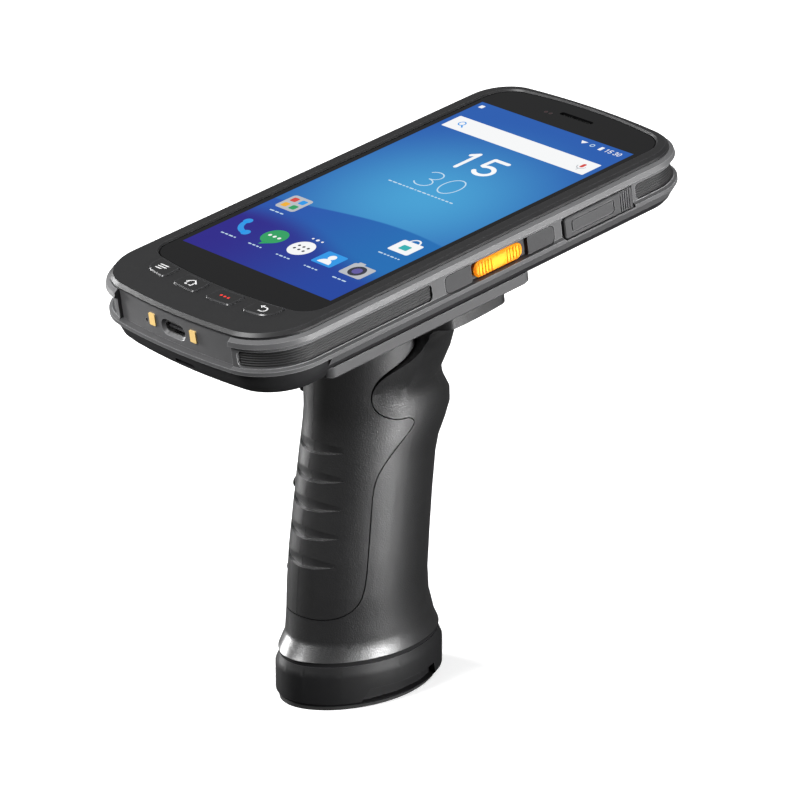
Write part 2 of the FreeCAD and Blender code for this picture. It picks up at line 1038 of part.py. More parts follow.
def scan_key():
    face = -body_half - side_out - scan_key_proud
    inner = -body_half + bumper_wall
    cap = scan_key_prism(0, face, inner + stack_gap)
    rim = [edge for edge in cap.Edges if edge.BoundBox.YMax < face + 1e-4]
    cap = cap.makeChamfer(scan_key_proud + rib_depth, rim)
    for side in (-1, 1):
        for count in range(rib_count):
            u = scan_key_middle + side * (scan_key_length / 2 - scan_key_height / 3 - count * rib_pitch)
            groove = box(
                u - rib_width / 2, u + rib_width / 2, face - 1, face + rib_depth, -beyond, beyond
            )
            cap = cap.cut(groove)
    flange = scan_key_prism(side_key_flange, inner + stack_gap, inner + stack_gap + side_key_flange_depth)
    return cap.fuse(flange)


def side_switch(middle, line):
    inner = -body_half + bumper_wall + stack_gap + side_key_flange_depth + side_key_travel + stack_gap
    return rounded_bar(
        "v",
        middle - switch_length / 2,
        middle + switch_length / 2,
        inner,
        inner + switch_depth,
        -line - switch_height / 2,
        -line + switch_height / 2,
        0.4,
    )


def left_key(middle, length, pips, flange_gap):
    face = body_half + side_out + left_key_proud
    inner = body_half - bumper_wall
    half = rocker_height / 2
    cap = rounded_bar(
        "v",
        middle - length / 2,
        middle + length / 2,
        inner - flange_gap,
        face,
        -left_key_line - half,
        -left_key_line + half,
        half,
    )
    rim = [edge for edge in cap.Edges if edge.BoundBox.YMin > face - 1e-4]
    cap = cap.makeChamfer(rib_depth, rim)
    for pip in pips:
        cap = cap.cut(box(middle + pip - rib_width / 2, middle + pip + rib_width / 2, face - rib_depth,
                          beyond, -left_key_line - half / 2, -left_key_line + half / 2))
    flange = rounded_bar(
        "v",
        middle - length / 2 - side_key_flange,
        middle + length / 2 + side_key_flange,
        inner - flange_gap - side_key_flange_depth,
        inner - flange_gap,
        -left_key_line - half - side_key_flange,
        -left_key_line + half + side_key_flange,
        half + side_key_flange,
    )
    return cap.fuse(flange)


def volume_rocker():
    """The rocker with two stubs on the line that it tilts about."""
    key = left_key(rocker_middle, rocker_length, (-rocker_length / 3, rocker_length / 3), rocker_gap)
    reach = rocker_height / 2 + side_key_flange + stub_reach
    line = body_half - bumper_wall - rocker_gap - side_key_flange_depth / 2
    return key.fuse(rod("w", rocker_middle, line, -left_key_line - reach, stub_radius, 2 * reach))


# Card cover

cover_barrel = (cover_pocket - seat_gap + cover_proud) / 2
hinge_u = cover_high - cover_barrel
hinge_v = -body_half - side_out - cover_proud + cover_barrel


def hinge_rod(radius, reach):
    """Rod on the hinge line, longer than the cover by its reach at each end."""
    return rod("w", hinge_u, hinge_v, -cover_bottom - reach, radius, cover_bottom - cover_top + 2 * reach)


def cover_frame(inset):
    middle = (cover_top + cover_bottom) / 2
    half = (cover_bottom - cover_top) / 2 - cover_border - inset
    return rounded_bar(
        "v",
        cover_frame_low + inset,
        cover_frame_high - inset,
        -beyond,
        -body_half - side_out - cover_proud + cover_frame_depth,
        -middle - half,
        -middle + half,
        cover_corner - inset,
    )


def card_cover():
    face = body_half + side_out
    lid = rounded_bar(
        "v",
        cover_low,
        cover_high,
        -face - cover_proud,
        -face + cover_pocket - seat_gap,
        -cover_bottom,
        -cover_top,
        cover_corner,
    )
    front = [edge for edge in lid.Edges if edge.BoundBox.YMax < -face - cover_proud + 1e-4]
    lid = lid.makeChamfer(cover_frame_depth, front)
    lid = lid.common(box(0, hinge_u, -beyond, beyond, -beyond, beyond)).fuse(hinge_rod(cover_barrel, 0))
    plug = cover_port(-slip_gap).common(
        box(-beyond, beyond, -face, -face + cover_pocket + cover_plug_depth, -beyond, beyond)
    )
    lid = lid.fuse(plug)
    lid = lid.cut(cover_frame(0).cut(cover_frame(cover_frame_width)))
    sunk = -face - cover_proud + cover_frame_depth
    for count in range(cover_rib_count):
        u = hinge_u - (count + 1) * cover_rib_pitch
        lid = lid.cut(box(u - rib_width / 2, u + rib_width / 2, -beyond, sunk, -beyond, beyond))
    return lid.cut(hinge_rod(cover_pin_radius + pin_gap, 1))


def card_cover_pin():
    return hinge_rod(cover_pin_radius, cover_pin_reach)


def card_socket():
    middle_u = (cover_plug_low + cover_plug_high) / 2
    line = (cover_top + cover_bottom) / 2
    start = -body_half + bumper_wall + seat_gap
    cage = box(
        middle_u - socket_length / 2,
        middle_u + socket_length / 2,
        start,
        start + socket_width,
        -line - socket_height / 2,
        -line + socket_height / 2,
    )
    way = box(
        middle_u - card_slot_width / 2,
        middle_u + card_slot_width / 2,
        start - 1,
        start + socket_width - 2,
        -line - card_slot_height / 2,
        -line + card_slot_height / 2,
    )
    return cage.cut(way)


# Dock panel, port and contacts

def port_prism(grow, u0, u1):
    half_w = port_width / 2 + grow
    half_h = port_height / 2 + grow
    return rounded_bar(
        "u", u0, u1, -half_w, half_w, -port_depth_line - half_h, -port_depth_line + half_h, half_h
    )


def contact_block(side, margin, u0, u1):
    middle = side * contact_spacing / 2
    return rounded_bar(
        "u",
        u0,
        u1,
        middle - contact_width / 2 - margin,
        middle + contact_width / 2 + margin,
        -contact_depth_line - contact_height / 2 - margin,
        -contact_depth_line + contact_height / 2 + margin,
        0.3 + margin,
    )


dock_face_u = -body_low + dock_sink


def dock_panel():
    top = -bezel_skirt_drop - slip_gap
    band = plan_stack(body, [(-dock_low + seat_gap, -dock_sink), (top, -dock_sink)])
    core = plan_stack(body, [(-beyond, -dock_back), (0, -dock_back)])
    core = core.common(box(-beyond - body_low, 0, -beyond, beyond, -beyond, 0))
    band = band.cut(core)
    half = dock_half - slip_gap
    band = band.common(box(-beyond - body_low, -body_low / 2 - 10, -half, half, -beyond, 0))
    band = band.cut(plan_stack(body, [(-bezel_foot_drop - seat_gap, tongue_out + seat_gap), (0, tongue_out + seat_gap)]))
    funnel = Part.makeLoft(
        [
            port_outline(port_margin + 0.5, dock_face_u - 0.4),
            port_outline(0.05, dock_face_u + 1.0),
        ],
        True,
        True,
    )
    band = band.cut(port_prism(pin_gap, -beyond - body_low, 0)).cut(funnel)
    for side in (-1, 1):
        band = band.cut(contact_block(side, pin_gap, -beyond - body_low, 0))
    mic = rod("u", -beyond - body_low, mic_offset, -contact_depth_line - mic_drop, mic_radius, beyond + dock_back)
    return band.cut(mic)


def port_outline(grow, u):
    prism = port_prism(grow, u, u + 1)
    caps = [face for face in prism.Faces if face.BoundBox.XMax < u + 1e-6]
    return caps[0].OuterWire


def usb_port_shell():
    start = dock_face_u + port_start
    outer = port_prism(0, start, start + port_length)
    inner = port_prism(-port_wall, start - 1, start + port_length - 1)
    return outer.cut(inner)


def usb_port_tongue():
    start = dock_face_u + port_start + tongue_back
    end = dock_face_u + port_start + port_length - 1
    return rounded_bar(
        "u",
        start,
        end,
        -tongue_width / 2,
        tongue_width / 2,
        -port_depth_line - tongue_height / 2,
        -port_depth_line + tongue_height / 2,
        0.3,
    )


def dock_contacts():
    blocks = []
    for side in (-1, 1):
        blocks.append(contact_block(side, 0, dock_face_u - contact_proud, dock_face_u + contact_length))
    return Part.makeCompound(blocks)


# Rear shell, battery and tray

def shell_outer(grow, top):
    return plan_stack(
        body,
        [
            (-shell_depth - grow, -shell_flat_in + grow),
            (-shell_edge_depth - grow, -shell_edge_in + grow),
            (-shell_bend_depth, -shell_bend_in + grow),
            (-top, -shell_top_in + grow),
        ],
    )


def shell_chin():
    """The deeper key end of the rear shell, level with the tray beside it."""
    levels = [
        (-chin_depth, -chin_flat_in),
        (-chin_edge_depth, -chin_edge_in),
        (-chin_bend_depth, -chin_bend_in),
        (-bumper_end, -shell_top_in),
        (-lower_ridge_low - stack_gap, start_out),
    ]
    return plan_stack(body, levels).common(
        box(-beyond - body_low, cap_end - stack_gap, -beyond, beyond, -beyond, 0)
    )


def hump_outline(margin, slope, height):
    """Outline of the scan hump with cut corners, drawn in by its slope."""
    low = hump_low + margin + slope
    high = hump_high - margin - slope / 2
    half = hump_half - margin - slope
    cut = hump_corner / 2
    corners = [
        (high - cut, half),
        (low + cut, half),
        (low, half - cut),
        (low, -half + cut),
        (low + cut, -half),
        (high - cut, -half),
        (high, -half + cut),
        (high, half - cut),
        (high - cut, half),
    ]
    return Part.makePolygon([V(u, v, height) for u, v in corners])


def hump(margin):
    return ruled(
        [
            hump_outline(margin, 0, -shell_edge_depth + 1.0),
            hump_outline(margin, hump_slope, -hump_depth + margin),
        ]
    )


def screw_hole(u, v, face_depth, radius, head):
    """Counterbored hole seen from the back."""
    shank = polygon_rod("w", u, v, -face_depth - 1, radius, 1 + screw_length + shell_floor, shank_sides)
    recess = rod("w", u, v, -face_depth - 1, head, 1 + screw_head_height)
    return shank.fuse(recess)


def rear_screw_spots():
    return [
        (rear_screw_low, -rear_screw_low_half, chin_depth),
        (rear_screw_low, rear_screw_low_half, chin_depth),
        (rear_screw_high, -rear_screw_high_half, shell_depth),
        (rear_screw_high, rear_screw_high_half, shell_depth),
    ]


def rear_shell():
    shell = shell_outer(0, bumper_end)
    cavity_floor = shell_depth - shell_floor
    shell = shell.fuse(shell_chin()).fuse(hump(0))
    shell = shell.cut(
        plan_stack(body, [(-cavity_floor, -shell_flat_in), (-lower_ridge_low + 1, -shell_wall - shell_top_in)])
    )
    shell = shell.cut(hump(hump_wall))
    lid = rounded_bar(
        "w", bay_low, bay_high, -bay_half, bay_half, -beyond, -shell_depth + battery_cover_thickness, bay_corner
    )
    way = rounded_bar(
        "w",
        bay_low + bay_ledge,
        bay_high - bay_ledge,
        -bay_half + bay_ledge,
        bay_half - bay_ledge,
        -beyond,
        -cavity_floor + 1,
        bay_corner - bay_ledge,
    )
    shell = shell.cut(lid).cut(way)
    for u, v, depth in rear_screw_spots():
        shell = shell.cut(screw_hole(u, v, depth, screw_shank + seat_gap, screw_head + seat_gap))
    for v in (-tray_screw_half, tray_screw_half):
        reach = screw_length - tray_bottom + shell_depth + seat_gap
        pilot = polygon_rod("w", tray_screw_u, v, -shell_depth - 1, screw_shank + seat_gap, 1 + reach, shank_sides)
        shell = shell.cut(pilot)
    strap = rounded_bar(
        "u",
        -body_low - 1,
        -body_low + slot_sink,
        slot_middle - slot_length / 2,
        slot_middle + slot_length / 2,
        -slot_depth_line - slot_height / 2,
        -slot_depth_line + slot_height / 2,
        slot_height / 2,
    )
    shell = shell.cut(strap)
    floor = -hump_depth
    shell = shell.cut(rod("w", camera_u, camera_v, floor - 1, camera_barrel + seat_gap, 6))
    shell = shell.cut(
        rod("w", camera_u, camera_v, floor - 1, camera_radius + seat_gap, 1 + cover_glass + cover_glass_sink)
    )
    shell = shell.cut(rod("w", camera_u, flash_v, floor - 1, flash_radius + seat_gap, 6))
    for count in range(grille_count):
        v = speaker_v + (count - (grille_count - 1) / 2) * grille_pitch
        shell = shell.cut(
            box(
                camera_u - grille_length / 2,
                camera_u + grille_length / 2,
                v - grille_width / 2,
                v + grille_width / 2,
                floor - 1,
                floor + hump_wall + 1,
            )
        )
    return shell


def rear_screws():
    screws = []
    for u, v, depth in rear_screw_spots():
        screws.append(shell_screw(u, v, depth))
    return Part.makeCompound(screws)


def shell_screw(u, v, face_depth):
    head = rod("w", u, v, -face_depth + seat_gap, screw_head, screw_head_height - seat_gap)
    length = screw_length - screw_head_height
    shank = polygon_rod("w", u, v, -face_depth + screw_head_height, screw_shank, length, shank_sides)
    drive = polygon_rod("w", u, v, -face_depth, screw_head / 2, screw_head_height / 2, drive_sides)
    return head.fuse(shank).cut(drive)


def battery_cover():
    top = -shell_depth + battery_cover_thickness - seat_gap
    return rounded_bar(
        "w",
        bay_low + slip_gap,
        bay_high - slip_gap,
        -bay_half + slip_gap,
        bay_half - slip_gap,
        -shell_depth,
        top,
        bay_corner - slip_gap,
    )


def terminal_battery():
    floor = -shell_depth + battery_cover_thickness
    inset = bay_ledge + run_gap
    pack = rounded_bar(
        "w",
        bay_low + inset,
        bay_high - inset,
        -bay_half + inset,
        bay_half - inset,
        floor,
        floor + battery_thickness,
        1.5,
    )
    notch = box(bay_low, bay_low + inset + 1.5, -9, 9, floor + battery_thickness - 2, 0)
    return pack.cut(notch)


def cradle_tray():
    block = rounded_bar(
        "w", tray_low, tray_high, -tray_half, tray_half, -tray_bottom, -tray_top, tray_corner
    )
    under = [edge for edge in block.Edges if edge.BoundBox.ZMax < -tray_bottom + 1e-4]
    block = block.makeChamfer(tray_chamfer, under)
    block = block.cut(shell_outer(stack_gap, bumper_end))
    for v in (-tray_screw_half, tray_screw_half):
        block = block.cut(screw_hole(tray_screw_u, v, tray_bottom, screw_shank + seat_gap, screw_head + seat_gap))
    return block


def cradle_screws():
    screws = []
    for v in (-tray_screw_half, tray_screw_half):
        screws.append(shell_screw(tray_screw_u, v, tray_bottom))
    return Part.makeCompound(screws)


# Inner works of the terminal

def inner_sheet(top, bottom):
    """Flat sheet inside the side keys, set back from the dock and notched round the port."""
    sheet = plan_stack(body, [(-bottom, -board_in), (-top, -board_in)])
    sheet = sheet.cut(box(-beyond - body_low, -body_low + end_in, -beyond, beyond, -beyond, 0))
    port_end = dock_face_u + port_start + port_length + run_gap
    return sheet.cut(box(-beyond - body_low, port_end, -port_notch_half, port_notch_half, -beyond, 0))


def mid_plate():
    plate = inner_sheet(plate_top, plate_bottom)
    for u, v, half_u, half_v in plate_windows:
        plate = plate.cut(box(u - half_u, u + half_u, v - half_v, v + half_v, -beyond, 0))
    return plate


def main_board():
    board = inner_sheet(board_top, board_bottom)
    return board.cut(box(*board_window, -beyond, 0))


def board_shields():
    blocks = []
    low = -board_bottom - shield_height
    for u0, u1, v0, v1 in ((22, 46, -2, 24), (-30, -6, -22, 4), (-4, 14, 6, 27)):
        blocks.append(box(u0, u1, v0, v1, low, -board_bottom))
    return Part.makeCompound(blocks)


def engine_front():
    return body_top - window_thickness - lens_proud - 0.5


def scan_engine():
    front = engine_front()
    case = rounded_bar(
        "u", front - engine_length, front, -engine_half, engine_half, -engine_low, -board_bottom - seat_gap, 1.0
    )
    line = -(engine_high + engine_low) / 2
    lens = rod("u", front - 1, -lens_offset, line, lens_radius, 1 + lens_proud)
    bore = rod("u", front - 0.4, -lens_offset, line, lens_radius * 0.7, 4)
    lamp = rod("u", front - 1, lens_offset, line, lamp_radius, 1 + lens_proud)
    return case.fuse(lens).fuse(lamp).cut(bore)


def scan_window():
    band = plan_stack(body, [(-beyond, 0), (0, 0)]).cut(
        plan_stack(body, [(-beyond - 1, -window_thickness), (1, -window_thickness)])
    )
    return band.common(window_prism(0))


def camera_module():
    floor = -hump_depth + hump_wall
    half = camera_body / 2
    case = rounded_bar(
        "w", camera_u - half, camera_u + half, camera_v - half, camera_v + half,
        floor + seat_gap, floor + seat_gap + 3.4, 1.0
    )
    barrel_low = -hump_depth + cover_glass + cover_glass_sink + seat_gap
    barrel = rod("w", camera_u, camera_v, barrel_low, camera_barrel, floor + 1 - barrel_low)
    eye = rod("w", camera_u, camera_v, barrel_low - 1, camera_barrel * 0.55, 1.5)
    return case.fuse(barrel).cut(eye)


def camera_glass():
    low = -hump_depth + cover_glass_sink
    return rod("w", camera_u, camera_v, low, camera_radius, cover_glass)


def flash_window():
    low = -hump_depth + cover_glass_sink
    return rod("w", camera_u, flash_v, low, flash_radius, hump_wall)


def loudspeaker():
    floor = -hump_depth + hump_wall + seat_gap
    case = rounded_bar(
        "w",
        camera_u - speaker_length / 2,
        camera_u + speaker_length / 2,
        speaker_v - speaker_width / 2,
        speaker_v + speaker_width / 2,
        floor,
        floor + speaker_height,
        2.0,
    )
    cone = rod("w", camera_u, speaker_v, floor - 1, 4.5, 1.6)
    return case.cut(cone)


def earpiece_mesh():
    top = -glass_thickness + earpiece_mesh_thickness + stack_gap
    return earpiece_hole(-pin_gap, -glass_thickness + stack_gap, top)


def earpiece_receiver():
    half_length = earpiece_length / 2
    top = -glass_thickness - stack_gap
    return rounded_bar(
        "w",
        earpiece_u - earpiece_width + seat_gap,
        earpiece_u + earpiece_width - seat_gap,
        -half_length,
        half_length,
        top - receiver_height,
        top,
        1.0,
    )


# Grip

def grip_wires(sections):
    wires = []
    for height, middle, half_length, half_width in sections:
        wires.append(oval_wire(middle, height, half_length, half_width))
    return wires


def neck_wires():
    wires = []
    for depth, along, front, rear, half_width, corner, turn, tilt in neck_sections:
        centre = in_grip(along, 0, -depth)
        wires.append(oval_wire(centre.x, centre.z, front, half_width, tilt, rear, corner, turn))
    top = in_grip(block_middle, 0, -tray_bottom)
    wires.append(
        oval_wire(top.x, top.z, block_front, block_half, pitch_deg, block_rear, block_corner, block_turn)
    )
    return wires


def front_loft():
    """Skin of the grip with the flared neck and the block of the front shell."""
    return ruled(grip_wires(grip_sections) + neck_wires())


def palm_loft():
    """Skin of the grip with the straight neck of the palm shells."""
    return ruled(grip_wires(grip_sections + palm_sections))


def skirt_loft():
    wires = []
    for height, section in ((skirt_z, skirt_section), (skirt_top_z, skirt_top_section)):
        wires.append(oval_wire(section[0], height, section[1], section[2]))
    return ruled(wires)


def grip_hollow():
    """Space inside the grip, from the skirt to the tray."""
    wires = []
    for height, middle, half_length, half_width in hollow_sections:
        wires.append(faceted_wire(middle, height, half_length - grip_wall, half_width - grip_wall))
    skirt = []
    for height, section in ((skirt_z, skirt_section), (skirt_top_z, skirt_top_section)):
        skirt.append(faceted_wire(section[0], height, section[1] - grip_wall, section[2] - grip_wall))
    return ruled(wires).fuse(ruled(skirt))


def seam_curve(shift):
    """Side view of the seam, moved by a gap at right angles to itself."""
    spots = []
    last = len(seam_points) - 1
    for index, (x, z) in enumerate(seam_points):
        before = seam_points[max(index - 1, 0)]
        after = seam_points[min(index + 1, last)]
        along_x = after[0] - before[0]
        along_z = after[1] - before[1]
        size = math.hypot(along_x, along_z)
        spots.append(V(x - shift * along_z / size, -beyond, z + shift * along_x / size))
    return spots


def palm_region(shift):
    """Everything behind the seam, as a slab across the grip."""
    spots = seam_curve(shift)
    curve = Part.BSplineCurve()
    curve.interpolate(spots)
    first = spots[0]
    last = spots[-1]
    top_back = V(-beyond, -beyond, first.z)
    low_back = V(-beyond, -beyond, last.z)
    edges = [
        curve.toShape(),
        Part.LineSegment(last, low_back).toShape(),
        Part.LineSegment(low_back, top_back).toShape(),
        Part.LineSegment(top_back, first).toShape(),
    ]
    return Part.Face(Part.Wire(edges)).extrude(V(0, 2 * beyond, 0))


def under_tray(gap):
    """The space below the tray, square to the terminal."""
    depth = tray_bottom + gap
    slab = box(-beyond * 3, beyond * 3, -beyond, beyond, -depth - beyond * 4, -depth)
    slab.Placement = terminal_place
    return slab


def cheek_plates():
    plates = []
    for side in (-1, 1):
        inner = trigger_half + run_gap
        v0 = inner if side == 1 else -inner - cheek_thickness
        plates.append(
            Part.makeBox(
                beyond, cheek_thickness, cheek_high - cheek_low, V(cheek_back, v0, cheek_low)
            )
        )
    return plates[0].fuse(plates[1])


def trigger_slot():
    half = trigger_half + run_gap
    return Part.makeBox(beyond, 2 * half, slot_roof - slot_floor, V(slot_back, -half, slot_floor))


def front_grip_shell():
    outer = front_loft().fuse(skirt_loft())
    shell = outer.cut(grip_hollow())
    shell = shell.cut(palm_region(seam_gap))
    cheeks = cheek_plates().common(outer)
    shell = shell.fuse(cheeks).cut(trigger_slot())
    bore = Part.makeCylinder(trigger_pin_radius, 2 * beyond, V(pivot_x, -beyond, pivot_z), V(0, 1, 0))
    reach = trigger_half + run_gap + cheek_thickness
    bore = bore.common(Part.makeBox(beyond, 2 * reach, beyond, V(0, -reach, pivot_z - beyond / 2)))
    shell = shell.cut(bore)
    return shell.common(under_tray(stack_gap))


def palm_groove(height):
    """Cutter for one palm groove: pointed at both ends and flatter than the palm."""
    share = (height - grip_sections[4][0]) / (grip_sections[6][0] - grip_sections[4][0])
    low = grip_sections[4][1] - grip_sections[4][2]
    high = grip_sections[6][1] - grip_sections[6][2]
    back = low + share * (high - low)
    half = groove_height / 2
    lens = [
        Part.Arc(V(-beyond, -groove_half, height), V(-beyond, 0, height + half), V(-beyond, groove_half, height)),
        Part.Arc(V(-beyond, groove_half, height), V(-beyond, 0, height - half), V(-beyond, -groove_half, height)),
    ]
    prism = Part.Face(Part.Wire([arc.toShape() for arc in lens])).extrude(V(beyond, 0, 0))
    centre = V(back + groove_depth + groove_round, 0, height - groove_height)
    return prism.cut(Part.makeCylinder(groove_round, 2 * groove_height, centre))


def palm_shell():
    outer = palm_loft()
    shell = outer.cut(grip_hollow())
    bosses = None
    for height, shift in zip(boss_heights, boss_shifts):
        boss = polygon_rod("v", boss_x + shift, -beyond, height, boss_radius, 2 * beyond, shank_sides)
        bosses = boss if bosses is None else bosses.fuse(boss)
    shell = shell.fuse(bosses.common(outer))
    for count in range(groove_count):
        shell = shell.cut(palm_groove(groove_first + count * groove_pitch))
    shell = shell.common(palm_region(0)).common(under_tray(stack_gap))
    for height, shift in zip(boss_heights, boss_shifts):
        x = boss_x + shift
        reach = side_reach(x, height)
        pilot = polygon_rod("v", x, -pilot_start, height, boss_screw_radius + seat_gap, 2 * beyond, shank_sides)
        shell = shell.cut(pilot)
        sink = Part.makeCylinder(
            boss_head_radius + seat_gap, beyond, V(x, reach - boss_screw_sink, height), V(0, 1, 0)
        )
        shell = shell.cut(sink)
    return shell


def side_reach(x, height):
    """Half width of the grip at a point of its side view, between its two nearest sections."""
    lower = grip_sections[0]
    upper = grip_sections[-1]
    for first, second in zip(grip_sections, grip_sections[1:]):
        if first[0] <= height <= second[0]:
            lower = first
            upper = second
    share = (height - lower[0]) / (upper[0] - lower[0])
    middle = lower[1] + share * (upper[1] - lower[1])
    half_length = lower[2] + share * (upper[2] - lower[2])
    half_width = lower[3] + share * (upper[3] - lower[3])
    return half_width * math.sqrt(max(0.04, 1 - ((x - middle) / half_length) ** 2))


def palm_halves():
    shell = palm_shell()
    tall = 3 * beyond
    right = Part.makeBox(tall, beyond, tall, V(-beyond, -beyond - halves_gap / 2, 0))
    left = Part.makeBox(tall, beyond, tall, V(-beyond, halves_gap / 2, 0))
    return shell.common(left), shell.common(right)


def grip_screws():
    screws = []
    for height, shift in zip(boss_heights, boss_shifts):
        x = boss_x + shift
        top = side_reach(x, height) - boss_screw_sink
        head = Part.makeCylinder(boss_head_radius, boss_screw_sink, V(x, top, height), V(0, 1, 0))
        drive = polygon_rod(
            "v", x, top + boss_screw_sink / 2, height, boss_head_radius / 2, boss_screw_sink, drive_sides
        )
        length = top + boss_screw_length
        shank = polygon_rod("v", x, -boss_screw_length, height, boss_screw_radius, length, shank_sides)
        screws.append(head.cut(drive).fuse(shank))
    return Part.makeCompound(screws)


# Trigger and its works

spring_pocket_start = trigger_back[0] - 1
spring_pocket_end = spring_pocket_start + spring_pocket


def trigger_pocket():
    half = spring_reach + run_gap
    return Part.makeBox(
        spring_pocket, 2 * half, 2 * half, V(spring_pocket_start, -half, spring_z - half)
    )


def trigger():
    face_points = [V(x, -trigger_half, z) for x, z in trigger_points]
    tip = V(trigger_tip[0], -trigger_half, trigger_tip[1])
    heel = V(trigger_heel[0], -trigger_half, trigger_heel[1])
    back = V(trigger_back[0], -trigger_half, trigger_back[1])
    boss_low = V(pivot_x, -trigger_half, pivot_z - trigger_boss)
    boss_back = V(pivot_x - trigger_boss, -trigger_half, pivot_z)
    boss_top = V(pivot_x, -trigger_half, pivot_z + trigger_boss)
    edges = [
        Part.Arc(*face_points[:3]).toShape(),
        Part.Arc(*face_points[2:]).toShape(),
        Part.LineSegment(face_points[-1], tip).toShape(),
        Part.LineSegment(tip, heel).toShape(),
        Part.LineSegment(heel, back).toShape(),
        Part.LineSegment(back, boss_low).toShape(),
        Part.Arc(boss_low, boss_back, boss_top).toShape(),
        Part.LineSegment(boss_top, face_points[0]).toShape(),
    ]
    blade = Part.Face(Part.Wire(edges)).extrude(V(0, 2 * trigger_half, 0))
    rims = []
    for edge in blade.Edges:
        centre = edge.BoundBox.Center
        flat = edge.BoundBox.YLength < 1e-6
        if flat and edge.Curve.TypeId == "Part::GeomCircle" and centre.x > trigger_back[0] + 2:
            rims.append(edge)
    blade = blade.makeChamfer(trigger_edge, rims)
    bore = Part.makeCylinder(trigger_pin_radius + pin_gap, 2 * beyond, V(pivot_x, -beyond, pivot_z), V(0, 1, 0))
    blade = blade.cut(bore)
    return blade.cut(trigger_pocket())


def trigger_pin():
    reach = trigger_half + run_gap + cheek_thickness - seat_gap
    return Part.makeCylinder(trigger_pin_radius, 2 * reach, V(pivot_x, -reach, pivot_z), V(0, 1, 0))


def strip(points, thickness, half_width):
    """Bent sheet along a line of points in the side view."""
    half = thickness / 2
    normals = []
    for first, second in zip(points, points[1:]):
        run = math.hypot(second[0] - first[0], second[1] - first[1])
        normals.append((-(second[1] - first[1]) / run, (second[0] - first[0]) / run))
    upper = []
    lower = []
    for index, (x, z) in enumerate(points):
        before = normals[max(index - 1, 0)]
        after = normals[min(index, len(normals) - 1)]
        share = 1 + before[0] * after[0] + before[1] * after[1]
        shift_x = half * (before[0] + after[0]) / share
        shift_z = half * (before[1] + after[1]) / share
        upper.append(V(x + shift_x, -half_width, z + shift_z))
        lower.append(V(x - shift_x, -half_width, z - shift_z))
    outline = upper + lower[::-1] + [upper[0]]
    return Part.Face(Part.makePolygon(outline)).extrude(V(0, 2 * half_width, 0))


def trigger_spring():
    """Leaf spring folded like a flat S, with an upright foot at each end."""
    start = spring_start + spring_sheet / 2
    end = spring_pocket_end - spring_slack - spring_sheet / 2
    low = spring_z - spring_reach + spring_sheet
    high = spring_z + spring_reach - spring_sheet
    bends = [
        (start, high),
        (start, low),
        ((start + end) / 2, high),
        (end, low),
        (end, high),
    ]
    return strip(bends, spring_sheet, spring_half)


def trigger_board():
    x0 = trigger_board_x
    board = Part.makeBox(
        trigger_board_thickness,
        2 * trigger_board_half,
        trigger_board_high - trigger_board_low,
        V(x0, -trigger_board_half, trigger_board_low),
    )
    return board


def trigger_switch():
    start = trigger_board_x + trigger_board_thickness
    case = Part.makeBox(
        trigger_switch_depth,
        2 * trigger_switch_half,
        trigger_switch_high - trigger_switch_low,
        V(start, -trigger_switch_half, trigger_switch_low),
    )
    plunger = Part.makeCylinder(
        plunger_radius, trigger_switch_depth + plunger_length, V(start, 0, plunger_z), V(1, 0, 0)
    )
    return case.fuse(plunger)


def spring_seat():
    start = trigger_board_x + trigger_board_thickness
    seat = Part.makeBox(spring_start - start, 2 * trigger_switch_half, 5.0, V(start, -trigger_switch_half, spring_z - 2.5))
    return seat


def contact_block_grip():
    return Part.makeBox(
        contact_block_high_x - contact_block_low_x,
        2 * contact_block_half,
        trigger_board_low - cell_high - 0.2,
        V(contact_block_low_x, -contact_block_half, cell_high + 0.1),
    )


def grip_battery():
    return rounded_bar(
        "w",
        cell_x - cell_length / 2,
        cell_x + cell_length / 2,
        -cell_half,
        cell_half,
        cell_low,
        cell_high,
        cell_half * 0.9,
    )


# Base

def cap_oval(inset, height):
    return oval_wire(cap_section[0], height, cap_section[1] - inset, cap_section[2] - inset)


def cap_inside(inset, height):
    return faceted_wire(cap_section[0], height, cap_section[1] - inset, cap_section[2] - inset)


